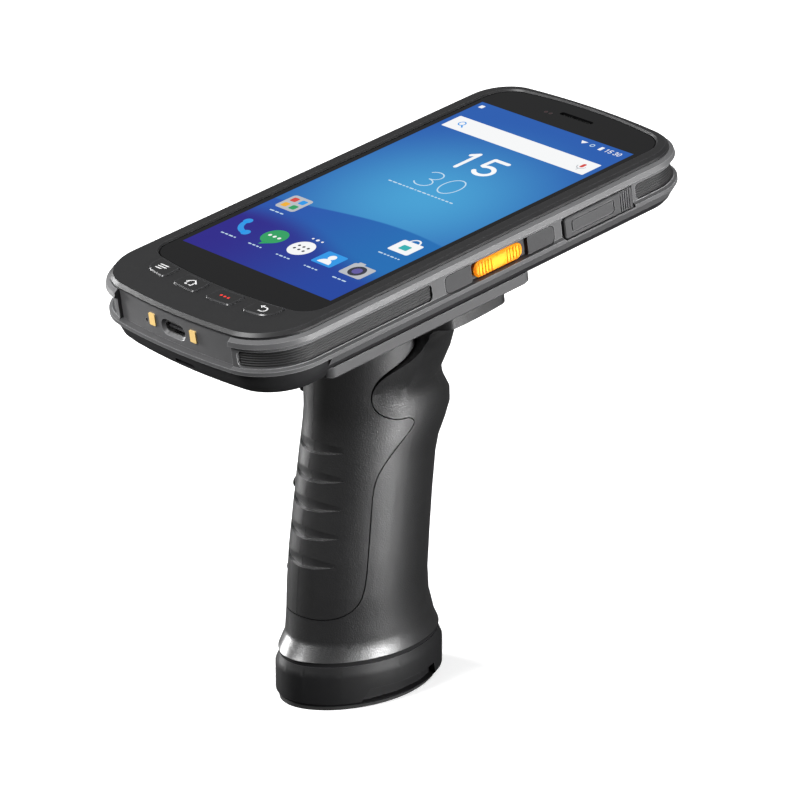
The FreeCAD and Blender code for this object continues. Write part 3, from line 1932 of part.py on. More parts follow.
def base_cap():
    low = foot_height + stack_gap
    outer = ruled(
        [
            cap_oval(cap_round_in, low),
            cap_oval(0, cap_round_z),
            cap_oval(0, cap_side_z),
            cap_oval(cap_top_in, cap_top_z),
        ]
    )
    inner = ruled(
        [cap_inside(cap_wall, low + cap_floor), cap_inside(cap_top_in + cap_wall, cap_top_z + 1)]
    )
    middle, half_length, half_width = skirt_section
    neck_in = spigot_in - grip_wall + run_gap
    ring = ruled(
        [
            oval_wire(middle, cap_top_z - 1.5, half_length - neck_in, half_width - neck_in),
            oval_wire(middle, skirt_z - run_gap, half_length - neck_in, half_width - neck_in),
        ]
    )
    share = (spigot_height - skirt_z) / (skirt_top_z - skirt_z)
    top_middle = middle + share * (skirt_top_section[0] - middle)
    top_length = half_length + share * (skirt_top_section[1] - half_length)
    top_width = half_width + share * (skirt_top_section[2] - half_width)
    spigot = ruled(
        [
            faceted_wire(middle, skirt_z - run_gap, half_length - spigot_in, half_width - spigot_in),
            faceted_wire(top_middle, spigot_height, top_length - spigot_in, top_width - spigot_in),
        ]
    )
    hollow_in = spigot_in + cap_wall
    hollow = ruled(
        [
            faceted_wire(middle, cap_top_z - 2, half_length - hollow_in, half_width - hollow_in),
            faceted_wire(top_middle, spigot_height + 1, top_length - hollow_in, top_width - hollow_in),
        ]
    )
    cap = outer.cut(inner).fuse(ring).fuse(spigot).cut(hollow)
    slot = Part.Face(
        Part.makePolygon(
            [
                V(cap_slot_low, -beyond, cap_slot_bottom),
                V(cap_slot_high, -beyond, cap_slot_bottom),
                V(cap_slot_high - cap_slot_slant / 3, -beyond, cap_slot_top),
                V(cap_slot_low + cap_slot_slant, -beyond, cap_slot_top),
                V(cap_slot_low, -beyond, cap_slot_bottom),
            ]
        )
    ).extrude(V(0, beyond, 0))
    slot = slot.cut(ruled([cap_inside(cap_slot_depth, 0), cap_inside(cap_slot_depth, cap_side_z)]))
    return cap.cut(slot).cut(mirrored(slot))


def foot_pad():
    middle, half_length, half_width = foot_section
    return ruled(
        [
            oval_wire(middle, 0, half_length, half_width),
            oval_wire(middle, foot_height, half_length, half_width),
        ]
    )


# Terminal pieces
save("front_bezel", front_bezel(), True)
save("touch_glass", touch_glass(), True)
save("display_panel", display_panel(), True)
for number, name in enumerate(("key_back", "key_function", "key_home", "key_menu")):
    save(name, front_key(number), True)
save("key_domes", key_domes(), True)
save("keypad_board", keypad_board(), True)
save("bumper_frame", bumper_frame(), True)
lower_pad, upper_pad = grip_pads()
save("grip_pad_lower_right", lower_pad, True)
save("grip_pad_lower_left", mirrored(lower_pad), True)
save("grip_pad_upper_right", upper_pad, True)
save("grip_pad_upper_left", mirrored(upper_pad), True)
save("side_plate_right", side_surround(), True)
save("side_plate_left", mirrored(side_surround()), True)
save("scan_key_right", scan_key(), True)
save("scan_key_left", mirrored(scan_key()), True)
right_switch = side_switch(scan_key_middle, scan_key_line)
left_switches = [
    mirrored(right_switch),
    mirrored(side_switch(rocker_middle - rocker_length / 4, left_key_line)),
    mirrored(side_switch(rocker_middle + rocker_length / 4, left_key_line)),
    mirrored(side_switch(power_middle, left_key_line)),
]
save("side_switches_right", right_switch, True)
save("side_switches_left", Part.makeCompound(left_switches), True)
save("volume_rocker", volume_rocker(), True)
save("power_key", left_key(power_middle, power_length, (0,), stack_gap), True)
save("card_cover", card_cover(), True)
save("card_cover_pin", card_cover_pin(), True)
save("card_socket", card_socket(), True)
save("dock_panel", dock_panel(), True)
save("dock_contacts", dock_contacts(), True)
save("usb_port_shell", usb_port_shell(), True)
save("usb_port_tongue", usb_port_tongue(), True)
save("rear_shell", rear_shell(), True)
save("rear_screws", rear_screws(), True)
save("battery_cover", battery_cover(), True)
save("terminal_battery", terminal_battery(), True)
save("mid_plate", mid_plate(), True)
save("main_board", main_board(), True)
save("board_shields", board_shields(), True)
save("scan_engine", scan_engine(), True)
save("scan_window", scan_window(), True)
save("camera_module", camera_module(), True)
save("camera_glass", camera_glass(), True)
save("flash_window", flash_window(), True)
save("loudspeaker", loudspeaker(), True)
save("earpiece_mesh", earpiece_mesh(), True)
save("earpiece_receiver", earpiece_receiver(), True)
save("cradle_tray", cradle_tray(), True)
save("cradle_screws", cradle_screws(), True)

# Grip pieces
save("grip_front_shell", front_grip_shell())
palm_left, palm_right = palm_halves()
save("palm_shell_left", palm_left)
save("palm_shell_right", palm_right)
save("grip_screws", grip_screws())
save("trigger", trigger())
save("trigger_pin", trigger_pin())
save("trigger_spring", trigger_spring())
save("trigger_board", trigger_board())
save("trigger_switch", trigger_switch().fuse(spring_seat()))
save("grip_contact_block", contact_block_grip())
save("grip_battery", grip_battery())
save("base_cap", base_cap())
save("foot_pad", foot_pad())
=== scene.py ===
import json
import math

import bmesh
import bpy
import numpy as np
from mathutils import Matrix, Vector


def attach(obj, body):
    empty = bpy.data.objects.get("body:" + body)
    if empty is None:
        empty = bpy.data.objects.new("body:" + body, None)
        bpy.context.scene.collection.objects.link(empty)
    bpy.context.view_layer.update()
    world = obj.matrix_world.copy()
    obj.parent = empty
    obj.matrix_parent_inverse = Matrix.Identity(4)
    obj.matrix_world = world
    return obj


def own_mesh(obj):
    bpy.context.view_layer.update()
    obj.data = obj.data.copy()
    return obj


with open("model.json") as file:
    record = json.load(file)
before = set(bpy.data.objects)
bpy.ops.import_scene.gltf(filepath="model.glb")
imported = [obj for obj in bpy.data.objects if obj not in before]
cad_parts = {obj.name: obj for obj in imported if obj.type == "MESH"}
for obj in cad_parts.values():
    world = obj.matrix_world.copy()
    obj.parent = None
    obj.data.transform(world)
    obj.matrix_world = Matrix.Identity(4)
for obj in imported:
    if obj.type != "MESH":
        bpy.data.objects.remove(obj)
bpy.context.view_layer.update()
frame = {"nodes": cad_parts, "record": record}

MM = 0.001

# Place of the screen's middle in the frame, and pitch of the terminal
SCREEN_X = 20.0 * MM
SCREEN_Z = 145.0 * MM
PITCH = math.radians(8.5)
TERMINAL = Matrix.Translation((SCREEN_X, 0, SCREEN_Z)) @ Matrix.Rotation(-PITCH, 4, "Y")

# Terminal, in its own millimetres: u runs to the scan end, v to the left, w up from the glass
SCREEN_LENGTH = 115.1
SCREEN_WIDTH = 64.8
GLASS_TOP = 0.0
KEY_TOP = 0.85
SCAN_KEY_U = -3.2
SCAN_KEY_W = -7.2

# Front keys, in the same millimetres
KEY_ARC_RADIUS = 150.0
KEY_LOW_LINE = 77.9
KEY_LENGTH = 6.4
KEY_PITCH = 14.8

# Prints stand this far above the surface, and above one another
DECAL_LIFT = 0.02
PRINT_LIFT = 0.012

# Camera, found from the outline of the terminal and the base
VIEW_AZIMUTH = -41.01
VIEW_ELEVATION = 21.66
VIEW_DISTANCE = 1281.37 * MM
VIEW_RIGHT = 2.78 * MM
VIEW_UP = 57.78 * MM
VIEW_LENS = 202.5
SENSOR = 36.0

random_state = np.random.default_rng(7)


# Colours

def linear(red, green, blue):
    """Scene colour of an 8 bit display colour."""
    out = []
    for value in (red, green, blue):
        share = value / 255
        out.append(share / 12.92 if share <= 0.04045 else ((share + 0.055) / 1.055) ** 2.4)
    return (*out, 1.0)


def grey(value):
    return linear(value, value, value)


def scaled(colour, factor):
    """Colour made lighter or darker, with no channel above 1."""
    return tuple(min(1.0, channel * factor) for channel in colour[:3]) + (1.0,)


# Shader building

# How well a rounded normal agrees with the true one, on flat stretches and on edges
FLAT_ALIGNMENT = 0.995
EDGE_ALIGNMENT = 0.90


class Shader:
    """A material with one principled shader and short calls for the nodes that feed it."""

    def __init__(self, name):
        self.material = bpy.data.materials.new(name)
        self.material.use_nodes = True
        self.tree = self.material.node_tree
        self.tree.nodes.clear()
        output = self.node("OutputMaterial")
        self.main = self.node("BsdfPrincipled")
        self.link(self.main.outputs["BSDF"], output.inputs["Surface"])
        self.coordinates = self.node("TexCoord").outputs["Object"]

    def node(self, kind):
        return self.tree.nodes.new("ShaderNode" + kind)

    def link(self, source, target):
        self.tree.links.new(source, target)

    def feed(self, socket, value):
        """Link an output to the socket, or write a plain value in it."""
        if hasattr(value, "is_output"):
            self.link(value, socket)
        elif value is not None:
            socket.default_value = value

    def set(self, name, value):
        self.feed(self.main.inputs[name], value)

    def math(self, operation, first, second=None, third=None):
        node = self.node("Math")
        node.operation = operation
        for socket, value in zip(node.inputs, (first, second, third)):
            self.feed(socket, value)
        return node.outputs[0]

    def mix(self, factor, first, second):
        node = self.node("Mix")
        node.data_type = "RGBA"
        self.feed(node.inputs["Factor"], factor)
        self.feed(node.inputs["A"], first)
        self.feed(node.inputs["B"], second)
        return node.outputs["Result"]

    def step(self, value, start, end):
        """0 below start and 1 above end, smooth between them."""
        node = self.node("MapRange")
        node.interpolation_type = "SMOOTHSTEP"
        self.feed(node.inputs["Value"], value)
        self.feed(node.inputs["From Min"], start)
        self.feed(node.inputs["From Max"], end)
        return node.outputs["Result"]

    def span(self, value, low_out, high_out, low_in=0.3, high_in=0.7):
        """Value carried straight from one range to another and held at its ends."""
        node = self.node("MapRange")
        self.feed(node.inputs["Value"], value)
        node.inputs["From Min"].default_value = low_in
        node.inputs["From Max"].default_value = high_in
        node.inputs["To Min"].default_value = low_out
        node.inputs["To Max"].default_value = high_out
        return node.outputs["Result"]

    def noise(self, size, detail=2.0, rough=0.5, stretch=None):
        """Noise whose patches are about one size across, in millimetres."""
        node = self.node("TexNoise")
        node.inputs["Scale"].default_value = 1 / (size * MM)
        node.inputs["Detail"].default_value = detail
        node.inputs["Roughness"].default_value = rough
        source = self.coordinates
        if stretch is not None:
            mapping = self.node("Mapping")
            mapping.inputs["Scale"].default_value = stretch
            self.link(source, mapping.inputs["Vector"])
            source = mapping.outputs["Vector"]
        self.link(source, node.inputs["Vector"])
        return node.outputs["Fac"]

    def terminal_axes(self):
        """The terminal's own u, v and w, in millimetres."""
        mapping = self.node("Mapping")
        mapping.vector_type = "TEXTURE"
        mapping.inputs["Location"].default_value = (SCREEN_X, 0, SCREEN_Z)
        mapping.inputs["Rotation"].default_value = (0, -PITCH, 0)
        mapping.inputs["Scale"].default_value = (MM, MM, MM)
        self.link(self.coordinates, mapping.inputs["Vector"])
        split = self.node("SeparateXYZ")
        self.link(mapping.outputs["Vector"], split.inputs["Vector"])
        return split.outputs["X"], split.outputs["Y"], split.outputs["Z"]

    def edges(self, radius):
        """1 along outer and inner edges and 0 on flat stretches, within a radius in millimetres."""
        bevel = self.node("Bevel")
        bevel.samples = 6
        bevel.inputs["Radius"].default_value = radius * MM
        compare = self.node("VectorMath")
        compare.operation = "DOT_PRODUCT"
        self.link(bevel.outputs["Normal"], compare.inputs[0])
        self.link(self.node("NewGeometry").outputs["Normal"], compare.inputs[1])
        return self.step(compare.outputs["Value"], FLAT_ALIGNMENT, EDGE_ALIGNMENT)

    def bump(self, height, depth):
        """Bump from a height between 0 and 1, with its full depth in millimetres."""
        node = self.node("Bump")
        node.inputs["Strength"].default_value = 1.0
        node.inputs["Distance"].default_value = depth * MM
        self.feed(node.inputs["Height"], height)
        return node.outputs["Normal"]


# Patches of uneven tone in mouldings, and the width of their lighter edges (partly rubbed wear, partly
# painted highlight), in millimetres
BROAD_PATCH = 18
SMALL_PATCH = 3.5
RUBBED_AND_HIGHLIT_WIDTH = 0.28


def moulded(
    name,
    colour,
    rough,
    grain=0.35,
    grain_depth=0.02,
    vary=0.10,
    rough_vary=0.06,
    specular=0.5,
    coat=0.0,
    coat_rough=0.1,
    edge_wear_and_highlight=0.0,
):
    """Moulded plastic or rubber: fine grain, faint uneven tone, uneven gloss and lighter edges, partly
    rubbed wear and partly painted highlight.
    """
    shader = Shader(name)
    broad = shader.noise(BROAD_PATCH, detail=3)
    small = shader.noise(SMALL_PATCH, detail=4, rough=0.6)
    tone = shader.math("ADD", shader.math("MULTIPLY", broad, 0.6), shader.math("MULTIPLY", small, 0.4))
    dark = scaled(colour, 1 - vary)
    light = scaled(colour, 1 + vary)
    surface = shader.mix(shader.span(tone, 0, 1, low_in=0.35, high_in=0.65), dark, light)
    # Edges lighter in patches: partly rubbed wear, partly a painted highlight along every edge
    if edge_wear_and_highlight:
        rubbed_and_highlit = shader.math("MULTIPLY", shader.edges(RUBBED_AND_HIGHLIT_WIDTH), shader.span(small, 0.45, 1.0))
        surface = shader.mix(rubbed_and_highlit, surface, scaled(colour, 1 + edge_wear_and_highlight))
    shader.set("Base Color", surface)
    shader.set("Roughness", shader.span(small, rough - rough_vary, rough + rough_vary))
    shader.set("Specular IOR Level", specular)
    if coat:
        shader.set("Coat Weight", coat)
        shader.set("Coat Roughness", coat_rough)
    if grain:
        shader.set("Normal", shader.bump(shader.noise(grain, rough=0.6), grain_depth))
    return shader


def metal(name, colour, rough, stretch=(1, 1, 1)):
    """Metal with fine lines, which run across the direction that stretch shortens."""
    shader = Shader(name)
    shader.set("Metallic", 1.0)
    lines = shader.noise(0.35, detail=3, rough=0.6, stretch=stretch)
    shader.set("Base Color", shader.mix(lines, scaled(colour, 0.86), colour))
    shader.set("Roughness", shader.span(shader.noise(2.0, detail=3), rough - 0.06, rough + 0.08))
    shader.set("Normal", shader.bump(lines, 0.004))
    return shader


# Painted shade for the bottoms of the pads' grooves
GROOVE_SHADE_COLOUR = grey(16)


def hatched(name, colour, rough, pitch, depth):
    """Rubber pad with fine grooves along its length, with painted shade in the grooves."""
    shader = moulded(name, colour, rough, grain=0.3, grain_depth=0.01)
    height = shader.terminal_axes()[2]
    phase = shader.math("MULTIPLY", height, 2 * math.pi / pitch)
    wave = shader.math("MULTIPLY_ADD", shader.math("SINE", phase), 0.5, 0.5)
    ridge = shader.step(wave, 0.2, 0.8)
    shader.set("Normal", shader.bump(ridge, depth))
    ridge_colour = shader.main.inputs["Base Color"].links[0].from_socket
    shader.set("Base Color", shader.mix(ridge, GROOVE_SHADE_COLOUR, ridge_colour))
    return shader


def amber_key():
    """Orange translucent key, with a painted glow along its middle fading to deeper orange at its
    edges and ends.
    """
    shader = Shader("amber")
    u, _, w = shader.terminal_axes()
    from_middle_line = shader.math("ABSOLUTE", shader.math("SUBTRACT", w, SCAN_KEY_W))
    from_middle = shader.math("ABSOLUTE", shader.math("SUBTRACT", u, SCAN_KEY_U))
    # Painted glow: lighter yellow along the middle line, deeper orange towards the edges and ends
    middle, side, end = linear(255, 190, 40), linear(246, 146, 14), linear(236, 128, 10)
    glow_and_shade = shader.mix(shader.step(from_middle_line, 0.4, 2.4), middle, side)
    shader.set("Base Color", shader.mix(shader.step(from_middle, 7.0, 9.3), glow_and_shade, end))
    shader.set("Roughness", shader.span(shader.noise(1.2, detail=3), 0.24, 0.36))
    shader.set("Subsurface Weight", 0.25)
    shader.set("Subsurface Radius", (1.2 * MM, 0.5 * MM, 0.1 * MM))
    shader.set("Subsurface Scale", 1.0)
    shader.set("Coat Weight", 0.5)
    shader.set("Coat Roughness", 0.12)
    shader.set("Normal", shader.bump(shader.noise(0.5), 0.004))
    return shader


def within(shader, value, half):
    """1 where the value lies between minus half and half, 0 elsewhere."""
    room = shader.math("SUBTRACT", half, shader.math("ABSOLUTE", value))
    return shader.step(room, -0.05, 0.05)


def wave(shader, value, middle, swing, length, shift):
    """Sine curve over a value, for the soft borders in the screen's background."""
    angle = shader.math("MULTIPLY_ADD", value, 1 / length, shift)
    return shader.math("MULTIPLY_ADD", shader.math("SINE", angle), swing, middle)


def screen_background(shader, u, v):
    """Blue sky with a bright spot above two waves of deeper blue."""
    glow_u = shader.math("MULTIPLY", shader.math("SUBTRACT", u, 2.0), 1 / 44)
    glow_v = shader.math("MULTIPLY", shader.math("SUBTRACT", v, -4.0), 1 / 46)
    square_u = shader.math("MULTIPLY", glow_u, glow_u)
    square_v = shader.math("MULTIPLY", glow_v, glow_v)
    distance = shader.math("SQRT", shader.math("ADD", square_u, square_v))
    sky = shader.mix(shader.step(distance, 0.0, 1.25), linear(66, 168, 224), linear(18, 92, 184))
    across = shader.step(v, -30.0, 30.0)
    near_wave = shader.mix(across, linear(4, 112, 190), linear(18, 84, 182))
    deep_wave = shader.mix(across, linear(8, 66, 168), linear(30, 18, 142))
    near_border = wave(shader, v, middle=-20.0, swing=4.6, length=21.0, shift=2.4)
    deep_border = wave(shader, v, middle=-33.0, swing=5.2, length=17.0, shift=0.4)
    above_deep = shader.step(shader.math("SUBTRACT", u, deep_border), -9.0, 2.0)
    above_near = shader.step(shader.math("SUBTRACT", u, near_border), -0.5, 0.4)
    return shader.mix(above_near, shader.mix(above_deep, deep_wave, near_wave), sky)


SCREEN_BRIGHTNESS = 0.86


def screen_glass():
    """Black-bordered glass with the picture of the display behind its upper face."""
    shader = Shader("screen_glass")
    u, v, w = shader.terminal_axes()
    in_length = within(shader, u, SCREEN_LENGTH / 2)
    in_width = within(shader, v, SCREEN_WIDTH / 2)
    upper_face = shader.step(w, -0.3, -0.2)
    lit = shader.math("MULTIPLY", shader.math("MULTIPLY", in_length, in_width), upper_face)
    shader.set("Base Color", linear(9, 9, 10))
    shader.set("Emission Color", screen_background(shader, u, v))
    shader.set("Emission Strength", shader.math("MULTIPLY", lit, SCREEN_BRIGHTNESS))
    smudge = shader.noise(14, detail=4, rough=0.6)
    shader.set("Roughness", shader.span(smudge, 0.05, 0.11))
    shader.set("Specular IOR Level", 0.2)
    shader.set("Normal", shader.bump(shader.noise(30), 0.002))
    return shader


def glowing(name, colour, strength=0.95):
    """Lit picture element of the display."""
    shader = Shader(name)
    shader.set("Base Color", grey(0))
    shader.set("Emission Color", colour)
    shader.set("Emission Strength", strength)
    shader.set("Roughness", 0.3)
    return shader


def printed(name, colour, rough=0.45):
    """Ink with a faint mottle."""
    shader = Shader(name)
    shader.set("Base Color", shader.mix(shader.noise(0.4), scaled(colour, 0.92), colour))
    shader.set("Roughness", rough)
    return shader


def tinted_glass(name, colour, rough=0.06):
    """Coloured window with a clear hard surface."""
    shader = Shader(name)
    shader.set("Base Color", colour)
    shader.set("Roughness", shader.span(shader.noise(6, detail=3), rough, rough + 0.05))
    shader.set("Specular IOR Level", 0.6)
    shader.set("Coat Weight", 0.6)
    shader.set("Coat Roughness", 0.04)
    shader.set("Normal", shader.bump(shader.noise(12), 0.001))
    return shader


# Turn of the mesh's sine waves, in radians for each millimetre
HOLES_TURN = 16.0


def mesh_metal():
    """Fine earpiece mesh: dark holes in rows."""
    shader = metal("earpiece_mesh_metal", grey(60), 0.45)
    u, v, _ = shader.terminal_axes()
    rows = shader.math("SINE", shader.math("MULTIPLY", u, HOLES_TURN))
    columns = shader.math("SINE", shader.math("MULTIPLY", v, HOLES_TURN))
    wire = shader.step(shader.math("MULTIPLY", rows, columns), 0.0, 0.3)
    shader.set("Base Color", shader.mix(wire, grey(14), grey(88)))
    return shader


# Looks by material slot
LOOKS = {
    "bezel": moulded(
        "bezel_plastic",
        linear(20, 20, 21),
        rough=0.42,
        grain=0.30,
        grain_depth=0.012,
        vary=0.05,
        rough_vary=0.03,
        specular=0.45,
        # Strong edge lightening here is a painted highlight along the bezel's edges
        edge_wear_and_highlight=7.0,
    ),
    "shell": moulded(
        "shell_plastic",
        linear(34, 34, 35),
        rough=0.46,
        grain=0.32,
        grain_depth=0.02,
        vary=0.06,
        rough_vary=0.03,
        specular=0.4,
        edge_wear_and_highlight=1.2,
    ),
    "bumper": moulded(
        "bumper_rubber",
        linear(78, 78, 79),
        rough=0.46,
        grain=0.34,
        grain_depth=0.022,
        vary=0.05,
        rough_vary=0.03,
        specular=0.40,
        edge_wear_and_highlight=2.8,
    ),
    "side_plate": moulded(
        "side_plate_plastic",
        linear(60, 60, 61),
        rough=0.52,
        grain=0.30,
        grain_depth=0.016,
        vary=0.05,
        rough_vary=0.03,
        specular=0.25,
        edge_wear_and_highlight=1.4,
    ),
    "card_cover": moulded(
        "card_cover_rubber",
        linear(58, 58, 59),
        rough=0.5,
        grain=0.34,
        grain_depth=0.02,
        vary=0.05,
        rough_vary=0.03,
        specular=0.4,
        edge_wear_and_highlight=2.2,
    ),
    "tray": moulded(
        "tray_plastic",
        linear(70, 70, 71),
        rough=0.45,
        grain=0.30,
        grain_depth=0.016,
        vary=0.05,
        rough_vary=0.03,
        specular=0.45,
        edge_wear_and_highlight=2.4,
    ),
    "grip_shell": moulded(
        "grip_plastic",
        linear(18, 18, 19),
        rough=0.34,
        grain=0.42,
        grain_depth=0.09,
        vary=0.05,
        rough_vary=0.012,
        specular=1.0,
        coat=0.8,
        coat_rough=0.28,
    ),
    "key_cap": moulded(
        "key_gloss",
        linear(14, 14, 15),
        rough=0.30,
        grain=None,
        vary=0.05,
        rough_vary=0.03,
        specular=0.5,
        coat=0.15,
        coat_rough=0.2,
        # Strong edge lightening here is a painted highlight line along the key rims
        edge_wear_and_highlight=26.0,
    ),
    "gold": moulded(
        "gold_plate",
        linear(236, 200, 128),
        rough=0.3,
        grain=0.4,
        grain_depth=0.01,
        vary=0.05,
        rough_vary=0.03,
        specular=0.8,
        coat=0.6,
        coat_rough=0.15,
    ),
    "trigger": moulded("trigger_plastic", linear(40, 40, 41), rough=0.36, grain_depth=0.015),
    "side_key": moulded(
        "side_key_plastic",
        linear(52, 52, 53),
        rough=0.4,
        grain=0.3,
        grain_depth=0.012,
    ),
    "foot": moulded("foot_rubber", grey(26), rough=0.75, grain=0.5, grain_depth=0.03),
    "board": moulded("board_laminate", linear(28, 92, 52), rough=0.35, grain=0.5, grain_depth=0.01),
    "inner_plastic": moulded(
        "inner_plastic",
        linear(38, 38, 40),
        rough=0.5,
        grain=0.4,
        grain_depth=0.01,
    ),
    "battery": moulded("battery_wrap", linear(60, 62, 68), rough=0.4, grain=0.6, grain_depth=0.01),
    "pad": hatched("pad_rubber", linear(44, 44, 45), rough=0.5, pitch=0.75, depth=0.14),
    "scan_key": amber_key(),
    "cover_glass": screen_glass(),
    "screen": glowing("display_panel", linear(18, 92, 184), 0.6),
    "inner_metal": metal("stamped_metal", grey(190), rough=0.34),
    "steel": metal("bright_steel", grey(200), rough=0.24, stretch=(1, 8, 1)),
    "dark_steel": metal("black_steel", grey(62), rough=0.36),
    "mesh": mesh_metal(),
    "window": tinted_glass("scan_window_glass", linear(70, 8, 12)),
    "lens": tinted_glass("camera_glass_black", linear(10, 10, 14)),
    "lamp": tinted_glass("lamp_glass", linear(226, 222, 204), rough=0.3),
}

# The base cap is duller than the shells above it, though it has their slot
NODE_LOOKS = {
    "base_cap": moulded(
        "base_cap_plastic",
        linear(18, 18, 19),
        rough=0.52,
        grain=0.34,
        grain_depth=0.02,
        vary=0.05,
        rough_vary=0.02,
        specular=0.25,
        # Edge lightening here is a painted highlight on the cap's chamfer
        edge_wear_and_highlight=4.0,
    ),
}


# Carried-over nodes: materials and smooth normals

PLACES_PER_METRE = 1e6
SMALLEST_AREA = 1e-14
SMALLEST_LENGTH = 1e-20


def read(items, name, kind, width=1):
    """One attribute of all items of a mesh, as rows of the given width."""
    values = np.empty(len(items) * width, kind)
    items.foreach_get(name, values)
    return values.reshape(-1, width) if width > 1 else values


def soften(mesh, limit=32.0):
    """Smooth normals across faces that meet at less than the limit, with no vertex moved."""
    vertex = read(mesh.loops, "vertex_index", np.int32)
    places = read(mesh.vertices, "co", np.float32, 3)
    spots = np.round(places[vertex] * PLACES_PER_METRE).astype(np.int64)
    normals = read(mesh.polygons, "normal", np.float32, 3)
    areas = read(mesh.polygons, "area", np.float32)
    corner_counts = read(mesh.polygons, "loop_total", np.int32)
    owner = np.repeat(np.arange(len(mesh.polygons)), corner_counts)
    own = normals[owner]
    weight = np.maximum(areas[owner], SMALLEST_AREA)

    # Corners that share a spot form a group, and groups of one size are blended together
    groups = np.unique(spots, axis=0, return_inverse=True)[1].reshape(-1)
    order = np.argsort(groups, kind="stable")
    counts = np.bincount(groups)
    starts = np.concatenate(([0], np.cumsum(counts)[:-1]))
    result = own.copy()
    near = math.cos(math.radians(limit))
    for size in np.unique(counts):
        if size < 2:
            continue
        rows = order[starts[counts == size][:, None] + np.arange(size)]
        facing = own[rows]
        alike = np.einsum("gik,gjk->gij", facing, facing) > near
        blended = np.einsum("gij,gj,gjk->gik", alike, weight[rows], facing)
        length = np.linalg.norm(blended, axis=2, keepdims=True)
        result[rows] = np.where(length > 0, blended / np.maximum(length, SMALLEST_LENGTH), facing)
    mesh.polygons.foreach_set("use_smooth", np.ones(len(mesh.polygons), bool))
    mesh.normals_split_custom_set(result.tolist())


slot_of = {part["node"]: part["material_slot"] for part in frame["record"]["subparts"]}
for node_name, node in frame["nodes"].items():
    look = NODE_LOOKS.get(node_name, LOOKS[slot_of[node_name]])
    node.data.materials.clear()
    node.data.materials.append(look.material)
    soften(node.data)

# The leaf spring, which shortens towards its seat as the trigger is pulled, gets a mesh of its own
spring = frame["nodes"]["trigger_spring"]
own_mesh(spring)


# Flat printed shapes on the glass and the keys

def arc(x, y, radius_x, radius_y, start, end, count):
    """Points on part of an oval about a middle, ends included, with angles in degrees."""
    points = []
    for index in range(count + 1):
        angle = math.radians(start + (end - start) * index / count)
        points.append((x + radius_x * math.cos(angle), y + radius_y * math.sin(angle)))
    return points


class Sheet:
    """Flat shapes in the terminal's frame, each with its own look, joined in one mesh.

    Places are (right, up) as the user looks at the screen, in millimetres.
    """

    def __init__(self, name, height):
        self.name = name
        self.height = height
        self.mesh = bmesh.new()
        self.looks = []

    def polygon(self, points, look, layer=0):
        if look not in self.looks:
            self.looks.append(look)
        level = (self.height + PRINT_LIFT * layer) * MM
        corners = []
        for right, up in points:
            corners.append(self.mesh.verts.new(TERMINAL @ Vector((up * MM, -right * MM, level))))
        face = self.mesh.faces.new(corners)
        face.normal_update()
        if face.normal.z < 0:
            face.normal_flip()
        face.material_index = self.looks.index(look)

    def disc(self, x, y, radius, look, layer=0, start=0.0, end=360.0, count=28):
        """Disc, or the part of one between two angles in degrees."""
        points = arc(x, y, radius, radius, start, end, count)
        if end - start >= 360:
            points.pop()
        self.polygon(points, look, layer)

    def ring(self, x, y, outer, inner, look, layer=0, start=0.0, end=360.0, count=28):
        """Ring, or the part of one between two angles in degrees."""
        outside = arc(x, y, outer, outer, start, end, count)
        inside = arc(x, y, inner, inner, start, end, count)
        for index in range(count):
            corners = [inside[index], outside[index], outside[index + 1], inside[index + 1]]
            self.polygon(corners, look, layer)

    def tile(self, x, y, width, height, radius, look, layer=0, count=5):
        """Rounded rectangle about its middle."""
        points = []
        for quarter, (side_x, side_y) in enumerate(((1, 1), (-1, 1), (-1, -1), (1, -1))):
            corner_x = x + side_x * (width / 2 - radius)
            corner_y = y + side_y * (height / 2 - radius)
            start = 90 * quarter
            points += arc(corner_x, corner_y, radius, radius, start, start + 90, count)
        self.polygon(points, look, layer)

    def stroke(self, points, width, look, layer=0):
        """Line of one width through the points, with round joints."""
        for (x0, y0), (x1, y1) in zip(points, points[1:]):
            length = math.hypot(x1 - x0, y1 - y0)
            dx = (y1 - y0) / length * width / 2
            dy = -(x1 - x0) / length * width / 2
            corners = [(x0 + dx, y0 + dy), (x1 + dx, y1 + dy), (x1 - dx, y1 - dy), (x0 - dx, y0 - dy)]
            self.polygon(corners, look, layer)
        for x, y in points:
            self.disc(x, y, width / 2, look, layer, count=12)

    def finish(self, body):
        """Turn the shapes into a piece that rides on a body."""
        data = bpy.data.meshes.new(self.name)
        self.mesh.to_mesh(data)
        self.mesh.free()
        for look in self.looks:
            data.materials.append(look.material)
        piece = bpy.data.objects.new(self.name, data)
        bpy.context.scene.collection.objects.link(piece)
        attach(piece, body)


# Picture on the screen

white_light = glowing("light_white", linear(248, 249, 250))
soft_light = glowing("light_soft", linear(196, 222, 240))
blue_light = glowing("light_blue", linear(24, 150, 232))
green_light = glowing("light_green", linear(28, 158, 92))
red_light = glowing("light_red", linear(214, 62, 52))
yellow_light = glowing("light_yellow", linear(240, 176, 40))
teal_light = glowing("light_teal", linear(30, 176, 178))
grey_light = glowing("light_grey", linear(186, 190, 196))
dark_light = glowing("light_dark", linear(38, 42, 60))
violet_light = glowing("light_violet", linear(92, 84, 160))

SEARCH_BAR_MIDDLE = 43.0
MICROPHONE_X = 26.0
STATUS_DROP = 2.8
CLOCK_HOUR_MIDDLE = 26.6
CLOCK_MINUTE_MIDDLE = 11.6
CLOCK_CAPTION = 4.2
PAGE_DOTS = -34.6
FOLDER = (-24.6, -22.6)
BAG = (24.3, -23.0)
ICON_ROW = -40.7
ICON_PITCH = 12.2
ICON_SIZE = 8.4
LABEL_DROP = 6.6
BAR_HEIGHT = 0.55
BAR_GAP = 0.45
SHORTEST_BAR = 0.6


def label(sheet, x, y, width):
    """Short bars in place of a caption."""
    place = x - width / 2
    end = x + width / 2
    while place < end - SHORTEST_BAR:
        length = min(float(random_state.uniform(0.7, 1.9)), end - place)
        sheet.tile(place + length / 2, y, length, BAR_HEIGHT, 0.2, soft_light, layer=1, count=2)
        place += length + BAR_GAP


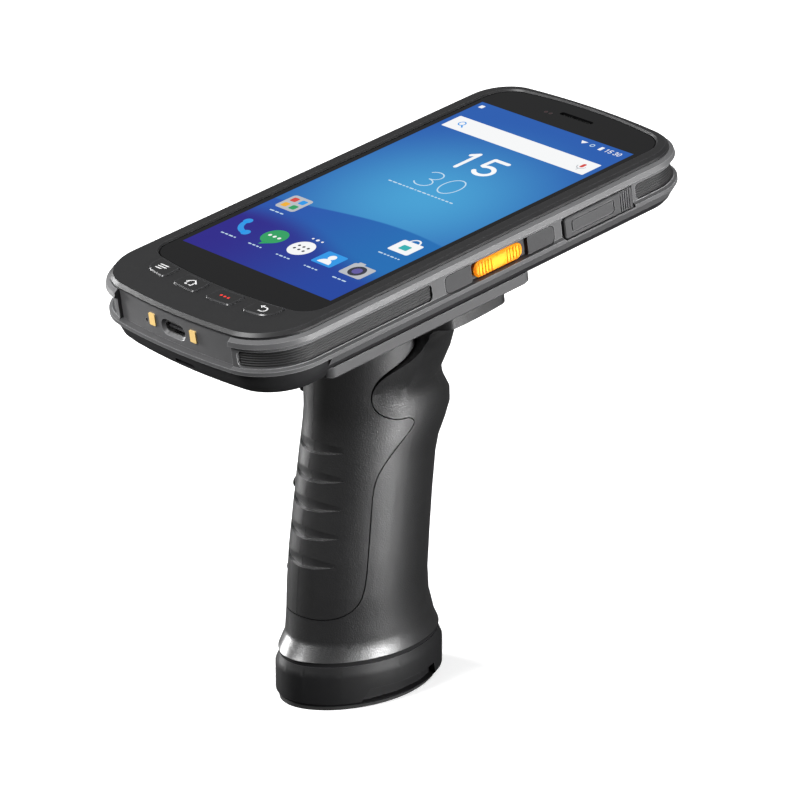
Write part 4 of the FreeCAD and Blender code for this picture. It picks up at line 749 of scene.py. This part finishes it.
def digit(sheet, number, x, y, width, height, thickness, look):
    """One of the clock's digits, 0, 1, 3 or 5, drawn with round strokes."""
    radius = width / 2
    half = height / 2
    left, right = x - radius, x + radius
    top, bottom = y + half, y - half
    if number == 0:
        strokes = [arc(x, y, radius, half, 0, 360, 26)]
    elif number == 1:
        stem = x + radius * 0.2
        strokes = [[(x - radius * 0.5, top - half * 0.35), (stem, top), (stem, bottom)]]
    elif number == 3:
        upper_bowl = arc(x, top - half * 0.5, radius * 0.9, half * 0.5, 150, -90, 12)
        lower_bowl = arc(x, bottom + half * 0.5, radius, half * 0.5, 90, -150, 12)
        strokes = [upper_bowl, lower_bowl]
    else:
        flag_end = (right - radius * 0.1, top)
        flag_start = (left + radius * 0.2, top)
        neck = (left + radius * 0.1, y + half * 0.05)
        bowl = arc(x, bottom + half * 0.56, radius, half * 0.56, 130, -150, 14)
        strokes = [[flag_end, flag_start, neck] + bowl]
    for points in strokes:
        sheet.stroke(points, thickness, look, layer=1)


def search_bar(sheet):
    y = SEARCH_BAR_MIDDLE
    sheet.tile(0, y, 60.6, 7.8, 0.4, white_light)
    sheet.ring(-25.6, y + 0.3, 1.35, 0.95, blue_light, layer=1)
    sheet.stroke([(-24.6, y - 0.7), (-23.7, y - 1.6)], 0.5, blue_light, layer=1)
    x = MICROPHONE_X
    sheet.tile(x, y + 0.6, 1.3, 2.4, 0.6, red_light, layer=1)
    sheet.ring(x, y + 0.2, 1.75, 1.4, grey_light, layer=1, start=180, end=360, count=12)
    sheet.stroke([(x, y - 1.5), (x, y - 2.2)], 0.35, grey_light, layer=1)


def status_line(sheet):
    """Signs for a message, the signal, an alarm and the battery, then the time."""
    y = SCREEN_LENGTH / 2 - STATUS_DROP
    sheet.tile(-29.8, y + 0.2, 1.7, 1.7, 0.3, white_light)
    sheet.polygon([(14.2, y - 0.7), (15.6, y + 0.9), (12.8, y + 0.9)], white_light)
    sheet.ring(18.0, y + 0.1, 0.85, 0.5, soft_light)
    sheet.tile(21.8, y, 1.3, 2.1, 0.2, white_light)
    for x, number in ((24.2, 1), (25.75, 5), (27.8, 3), (29.35, 0)):
        digit(sheet, number, x, y, width=0.95, height=1.8, thickness=0.28, look=white_light)


def clock(sheet):
    """Hour in wide strokes above the minute in thin ones."""
    hour = {"y": CLOCK_HOUR_MIDDLE, "height": 9.6, "thickness": 1.5, "look": white_light}
    digit(sheet, 1, x=-5.2, width=5.6, **hour)
    digit(sheet, 5, x=4.6, width=6.6, **hour)
    minute = {"y": CLOCK_MINUTE_MIDDLE, "height": 9.2, "thickness": 0.42, "look": soft_light}
    digit(sheet, 3, x=-4.6, width=6.4, **minute)
    digit(sheet, 0, x=5.0, width=6.8, **minute)
    label(sheet, 0, CLOCK_CAPTION, 28)


def page_dots(sheet):
    for x, radius in ((-2.0, 0.42), (0.0, 0.6), (2.0, 0.42)):
        sheet.disc(x, PAGE_DOTS, radius, white_light, count=12)


def folder_icon(sheet):
    """Folder with four coloured tiles."""
    x, y = FOLDER
    sheet.tile(x, y, ICON_SIZE, ICON_SIZE, 1.2, grey_light)
    tiles = ((-1, 1, red_light), (1, 1, blue_light), (-1, -1, yellow_light), (1, -1, green_light))
    for side_x, side_y, look in tiles:
        sheet.tile(x + side_x * 1.8, y + side_y * 1.8, 2.4, 2.4, 0.5, look, layer=1)
    label(sheet, x, y - LABEL_DROP, 6)


def bag_icon(sheet):
    x, y = BAG
    sheet.tile(x, y, ICON_SIZE, 6.8, 0.7, white_light)
    sheet.ring(x, y + 3.3, 2.1, 1.55, white_light, start=0, end=180, count=14)
    sheet.tile(x, y - 0.2, 3.4, 2.6, 0.4, teal_light, layer=1)
    label(sheet, x, y + 0.4 - LABEL_DROP, 9)


def handset_icon(sheet, x, y):
    sheet.ring(x + 2.6, y + 2.4, 6.0, 4.2, blue_light, start=180, end=268, count=16)
    sheet.disc(x - 2.4, y + 2.7, 1.5, blue_light, count=16)
    sheet.disc(x + 2.9, y - 2.6, 1.5, blue_light, count=16)


def bubble_icon(sheet, x, y):
    sheet.disc(x, y + 0.4, ICON_SIZE / 2, green_light)
    sheet.polygon([(x - 0.6, y - 3.4), (x + 2.2, y - 3.2), (x - 0.6, y - 5.4)], green_light)
    for side in (-1, 0, 1):
        sheet.disc(x + side * 2.0, y + 0.4, 0.6, white_light, layer=1, count=12)


def drawer_icon(sheet, x, y):
    """Disc with two rows of dots."""
    sheet.disc(x, y, ICON_SIZE / 2, white_light)
    for column in (-1, 0, 1):
        for row in (-0.5, 0.5):
            sheet.disc(x + column * 1.9, y + row * 1.9, 0.5, dark_light, layer=1, count=10)


def contact_icon(sheet, x, y):
    """Card with a head and shoulders in plain discs."""
    sheet.tile(x, y, ICON_SIZE, 7.2, 0.7, blue_light)
    sheet.disc(x, y + 1.1, 1.35, white_light, layer=1, count=18)
    sheet.disc(x, y - 2.6, 2.5, white_light, layer=1, start=0, end=180, count=18)


def camera_icon(sheet, x, y):
    sheet.tile(x, y - 0.3, ICON_SIZE + 0.6, 6.8, 0.8, grey_light)
    sheet.tile(x - 2.2, y + 3.4, 2.6, 1.2, 0.4, grey_light)
    sheet.disc(x, y - 0.3, 2.8, dark_light, layer=1)
    sheet.disc(x, y - 0.3, 1.6, violet_light, layer=2, count=20)


ROW_ICONS = (handset_icon, bubble_icon, drawer_icon, contact_icon, camera_icon)


def home_screen():
    sheet = Sheet("screen_icons", GLASS_TOP + DECAL_LIFT)
    search_bar(sheet)
    status_line(sheet)
    clock(sheet)
    page_dots(sheet)
    folder_icon(sheet)
    bag_icon(sheet)
    for place, icon in enumerate(ROW_ICONS, -2):
        icon(sheet, place * ICON_PITCH, ICON_ROW)
    for place in range(-2, 3):
        label(sheet, place * ICON_PITCH, ICON_ROW - LABEL_DROP, 6.5)
    sheet.finish("chassis")


home_screen()


# Marks on the front keys

print_white = printed("print_white", grey(216))
print_red = printed("print_red", linear(224, 48, 40))
MARK_STROKE = 0.42


def menu_mark(sheet, x, y):
    for rise, end in ((1.0, 1.7), (0.0, 1.7), (-1.0, 0.6)):
        sheet.stroke([(x - 1.7, y + rise), (x + end, y + rise)], MARK_STROKE, print_white)


def home_mark(sheet, x, y):
    """House: a roof over two halves of the walls."""
    sheet.stroke([(x - 2.0, y + 0.1), (x, y + 1.6), (x + 2.0, y + 0.1)], MARK_STROKE, print_white)
    for side in (-1, 1):
        wall, sill = x + side * 1.3, x + side * 0.5
        sheet.stroke([(wall, y + 0.2), (wall, y - 1.3), (sill, y - 1.3)], MARK_STROKE, print_white)


def function_mark(sheet, x, y):
    for side in (-1, 0, 1):
        sheet.disc(x + side * 1.5, y, 0.45, print_red, count=14)


def back_mark(sheet, x, y):
    """Arrow that turns back to the left."""
    turn_x, upper, lower = x + 0.3, y + 0.94, y - 1.34
    inner = 1.35 - MARK_STROKE
    sheet.ring(turn_x, y - 0.2, 1.35, inner, print_white, start=-90, end=90, count=14)
    sheet.stroke([(x - 1.3, upper), (turn_x, upper)], MARK_STROKE, print_white)
    sheet.stroke([(x - 0.6, lower), (turn_x, lower)], MARK_STROKE, print_white)
    sheet.polygon([(x - 2.1, upper), (x - 0.9, y + 1.75), (x - 0.9, y + 0.13)], print_white)


# Front keys from left to right, each with its mark
KEY_MARKS = {
    "menu_key": menu_mark,
    "home_key": home_mark,
    "function_key": function_mark,
    "back_key": back_mark,
}


def key_middle(index):
    """Middle of a key in (right, up), from left to right."""
    right = (index - 1.5) * KEY_PITCH
    radius = KEY_ARC_RADIUS - KEY_LENGTH / 2
    up = KEY_ARC_RADIUS - KEY_LOW_LINE - math.sqrt(radius * radius - right * right)
    return right, up


for index, (body, mark) in enumerate(KEY_MARKS.items()):
    key_sheet = Sheet(body + "_icon", KEY_TOP + DECAL_LIFT)
    mark(key_sheet, *key_middle(index))
    key_sheet.finish(body)


# Sensor windows beside the earpiece

SENSOR_UP = 63.5
SENSOR_RIM = 0.14


def sensor_dots():
    sheet = Sheet("sensor_windows", GLASS_TOP + DECAL_LIFT)
    glass = printed("sensor_dark", linear(44, 20, 24), 0.15)
    rim = printed("sensor_rim", grey(40), 0.3)
    for right, radius in ((-11.0, 0.55), (-9.0, 0.5)):
        sheet.disc(right, SENSOR_UP, radius, glass, count=18)
        sheet.ring(right, SENSOR_UP, radius + SENSOR_RIM, radius, rim, count=18)
    sheet.finish("chassis")


sensor_dots()


# Stage, lamps and camera

FLOOR_REACH = 6.0
FLOOR_SHADE = 240
FLOOR_SHADE_FOR_LIGHT = 50
FLOOR_GLOW_NEAR = 0.42
FLOOR_GLOW_FAR = 1.0
FLOOR_NEAR = 0.08
FLOOR_FAR = 0.6
BACKDROP_STRENGTH = 1.0
ROOM_COLOUR = (0.98, 0.99, 1, 1)
ROOM_STRENGTH = 0.13
MIRRORED_SHARE = 0.16
AIM = Vector((0.01, 0, 0.085))


def view_axes():
    """Right, up and back of the camera, and its level direction away from the object."""
    azimuth = math.radians(VIEW_AZIMUTH)
    elevation = math.radians(VIEW_ELEVATION)
    right = Vector((math.cos(azimuth), math.sin(azimuth), 0))
    outward = Vector((math.sin(azimuth), -math.cos(azimuth), 0))
    above = Vector((0, 0, 1))
    back = outward * math.cos(elevation) + above * math.sin(elevation)
    up = above * math.cos(elevation) - outward * math.sin(elevation)
    return right, up, back, outward


RIGHT, UP, BACK, OUTWARD = view_axes()


def point(thing, place, direction):
    """Put a camera or lamp in its place, looking along a direction."""
    bpy.context.scene.collection.objects.link(thing)
    thing.location = place
    thing.rotation_mode = "QUATERNION"
    thing.rotation_quaternion = direction.to_track_quat("-Z", "Y")


def make_camera():
    data = bpy.data.cameras.new("camera")
    data.lens = VIEW_LENS
    data.sensor_width = SENSOR
    data.dof.use_dof = False
    data.clip_start = 0.05
    data.clip_end = 50
    camera = bpy.data.objects.new("camera", data)
    middle = Vector((SCREEN_X, 0, SCREEN_Z))
    place = middle - VIEW_RIGHT * RIGHT - VIEW_UP * UP + VIEW_DISTANCE * BACK
    point(camera, place, -BACK)
    bpy.context.scene.camera = camera


def make_floor():
    """White floor that darkens in the object's shadow and throws little light back on it."""
    mesh = bpy.data.meshes.new("floor")
    reach = FLOOR_REACH
    corners = [(-reach, -reach, 0), (reach, -reach, 0), (reach, reach, 0), (-reach, reach, 0)]
    mesh.from_pydata(corners, [], [(0, 1, 2, 3)])
    floor = bpy.data.objects.new("floor", mesh)
    bpy.context.scene.collection.objects.link(floor)
    shader = Shader("floor_white")
    shader.set("Roughness", 0.9)
    shader.set("Specular IOR Level", 0.1)
    shader.set("Emission Color", grey(255))
    seen = shader.node("LightPath").outputs["Is Camera Ray"]
    shader.set("Base Color", shader.mix(seen, grey(FLOOR_SHADE_FOR_LIGHT), grey(FLOOR_SHADE)))
    distance = shader.node("VectorMath")
    distance.operation = "LENGTH"
    shader.link(shader.node("NewGeometry").outputs["Position"], distance.inputs[0])
    away = distance.outputs["Value"]
    glow = shader.span(
        away,
        FLOOR_GLOW_NEAR,
        FLOOR_GLOW_FAR,
        low_in=FLOOR_NEAR,
        high_in=FLOOR_FAR,
    )
    shader.set("Emission Strength", shader.math("MULTIPLY", seen, glow))
    mesh.materials.append(shader.material)


def make_world():
    """White behind the object and through glass, less in mirrored rays, and a dim room as light."""
    world = bpy.data.worlds.new("studio")
    bpy.context.scene.world = world
    world.use_nodes = True
    tree = world.node_tree
    tree.nodes.clear()

    def node(kind):
        return tree.nodes.new("ShaderNode" + kind)

    def background(colour, strength):
        light = node("Background")
        light.inputs["Color"].default_value = colour
        light.inputs["Strength"].default_value = strength
        return light.outputs["Background"]

    rays = node("LightPath").outputs
    mirrored_or_through = node("Math")
    mirrored_or_through.operation = "MULTIPLY_ADD"
    tree.links.new(rays["Is Glossy Ray"], mirrored_or_through.inputs[0])
    mirrored_or_through.inputs[1].default_value = MIRRORED_SHARE
    tree.links.new(rays["Is Transmission Ray"], mirrored_or_through.inputs[2])
    share = node("Math")
    share.operation = "MAXIMUM"
    tree.links.new(mirrored_or_through.outputs["Value"], share.inputs[0])
    tree.links.new(rays["Is Camera Ray"], share.inputs[1])
    choice = node("MixShader")
    tree.links.new(share.outputs["Value"], choice.inputs["Fac"])
    tree.links.new(background(ROOM_COLOUR, ROOM_STRENGTH), choice.inputs[1])
    tree.links.new(background((1, 1, 1, 1), BACKDROP_STRENGTH), choice.inputs[2])
    tree.links.new(choice.outputs["Shader"], node("OutputWorld").inputs["Surface"])


def around(angle, distance, height):
    """Place round the object, by its angle to the right of the camera."""
    turn = math.radians(angle)
    level = math.sin(turn) * RIGHT + math.cos(turn) * OUTWARD
    return distance * level + Vector((AIM.x, 0, height))


def make_lamp(name, place, size, power):
    data = bpy.data.lights.new(name, "AREA")
    data.shape = "RECTANGLE"
    data.size, data.size_y = size
    data.energy = power
    point(bpy.data.objects.new(name, data), place, AIM - place)


make_camera()
make_floor()
make_world()
make_lamp("right_strip", around(60, 0.9, 0.14), size=(0.24, 0.50), power=20)
make_lamp("left_strip", around(-120, 0.8, 0.12), size=(0.16, 0.44), power=11)
make_lamp("left_high_light", around(-60, 0.8, 0.72), size=(0.4, 0.4), power=12)
make_lamp("top_light", AIM + Vector((0, 0, 1.1)), size=(0.9, 0.9), power=6)

bpy.context.scene.view_settings.view_transform = "Standard"
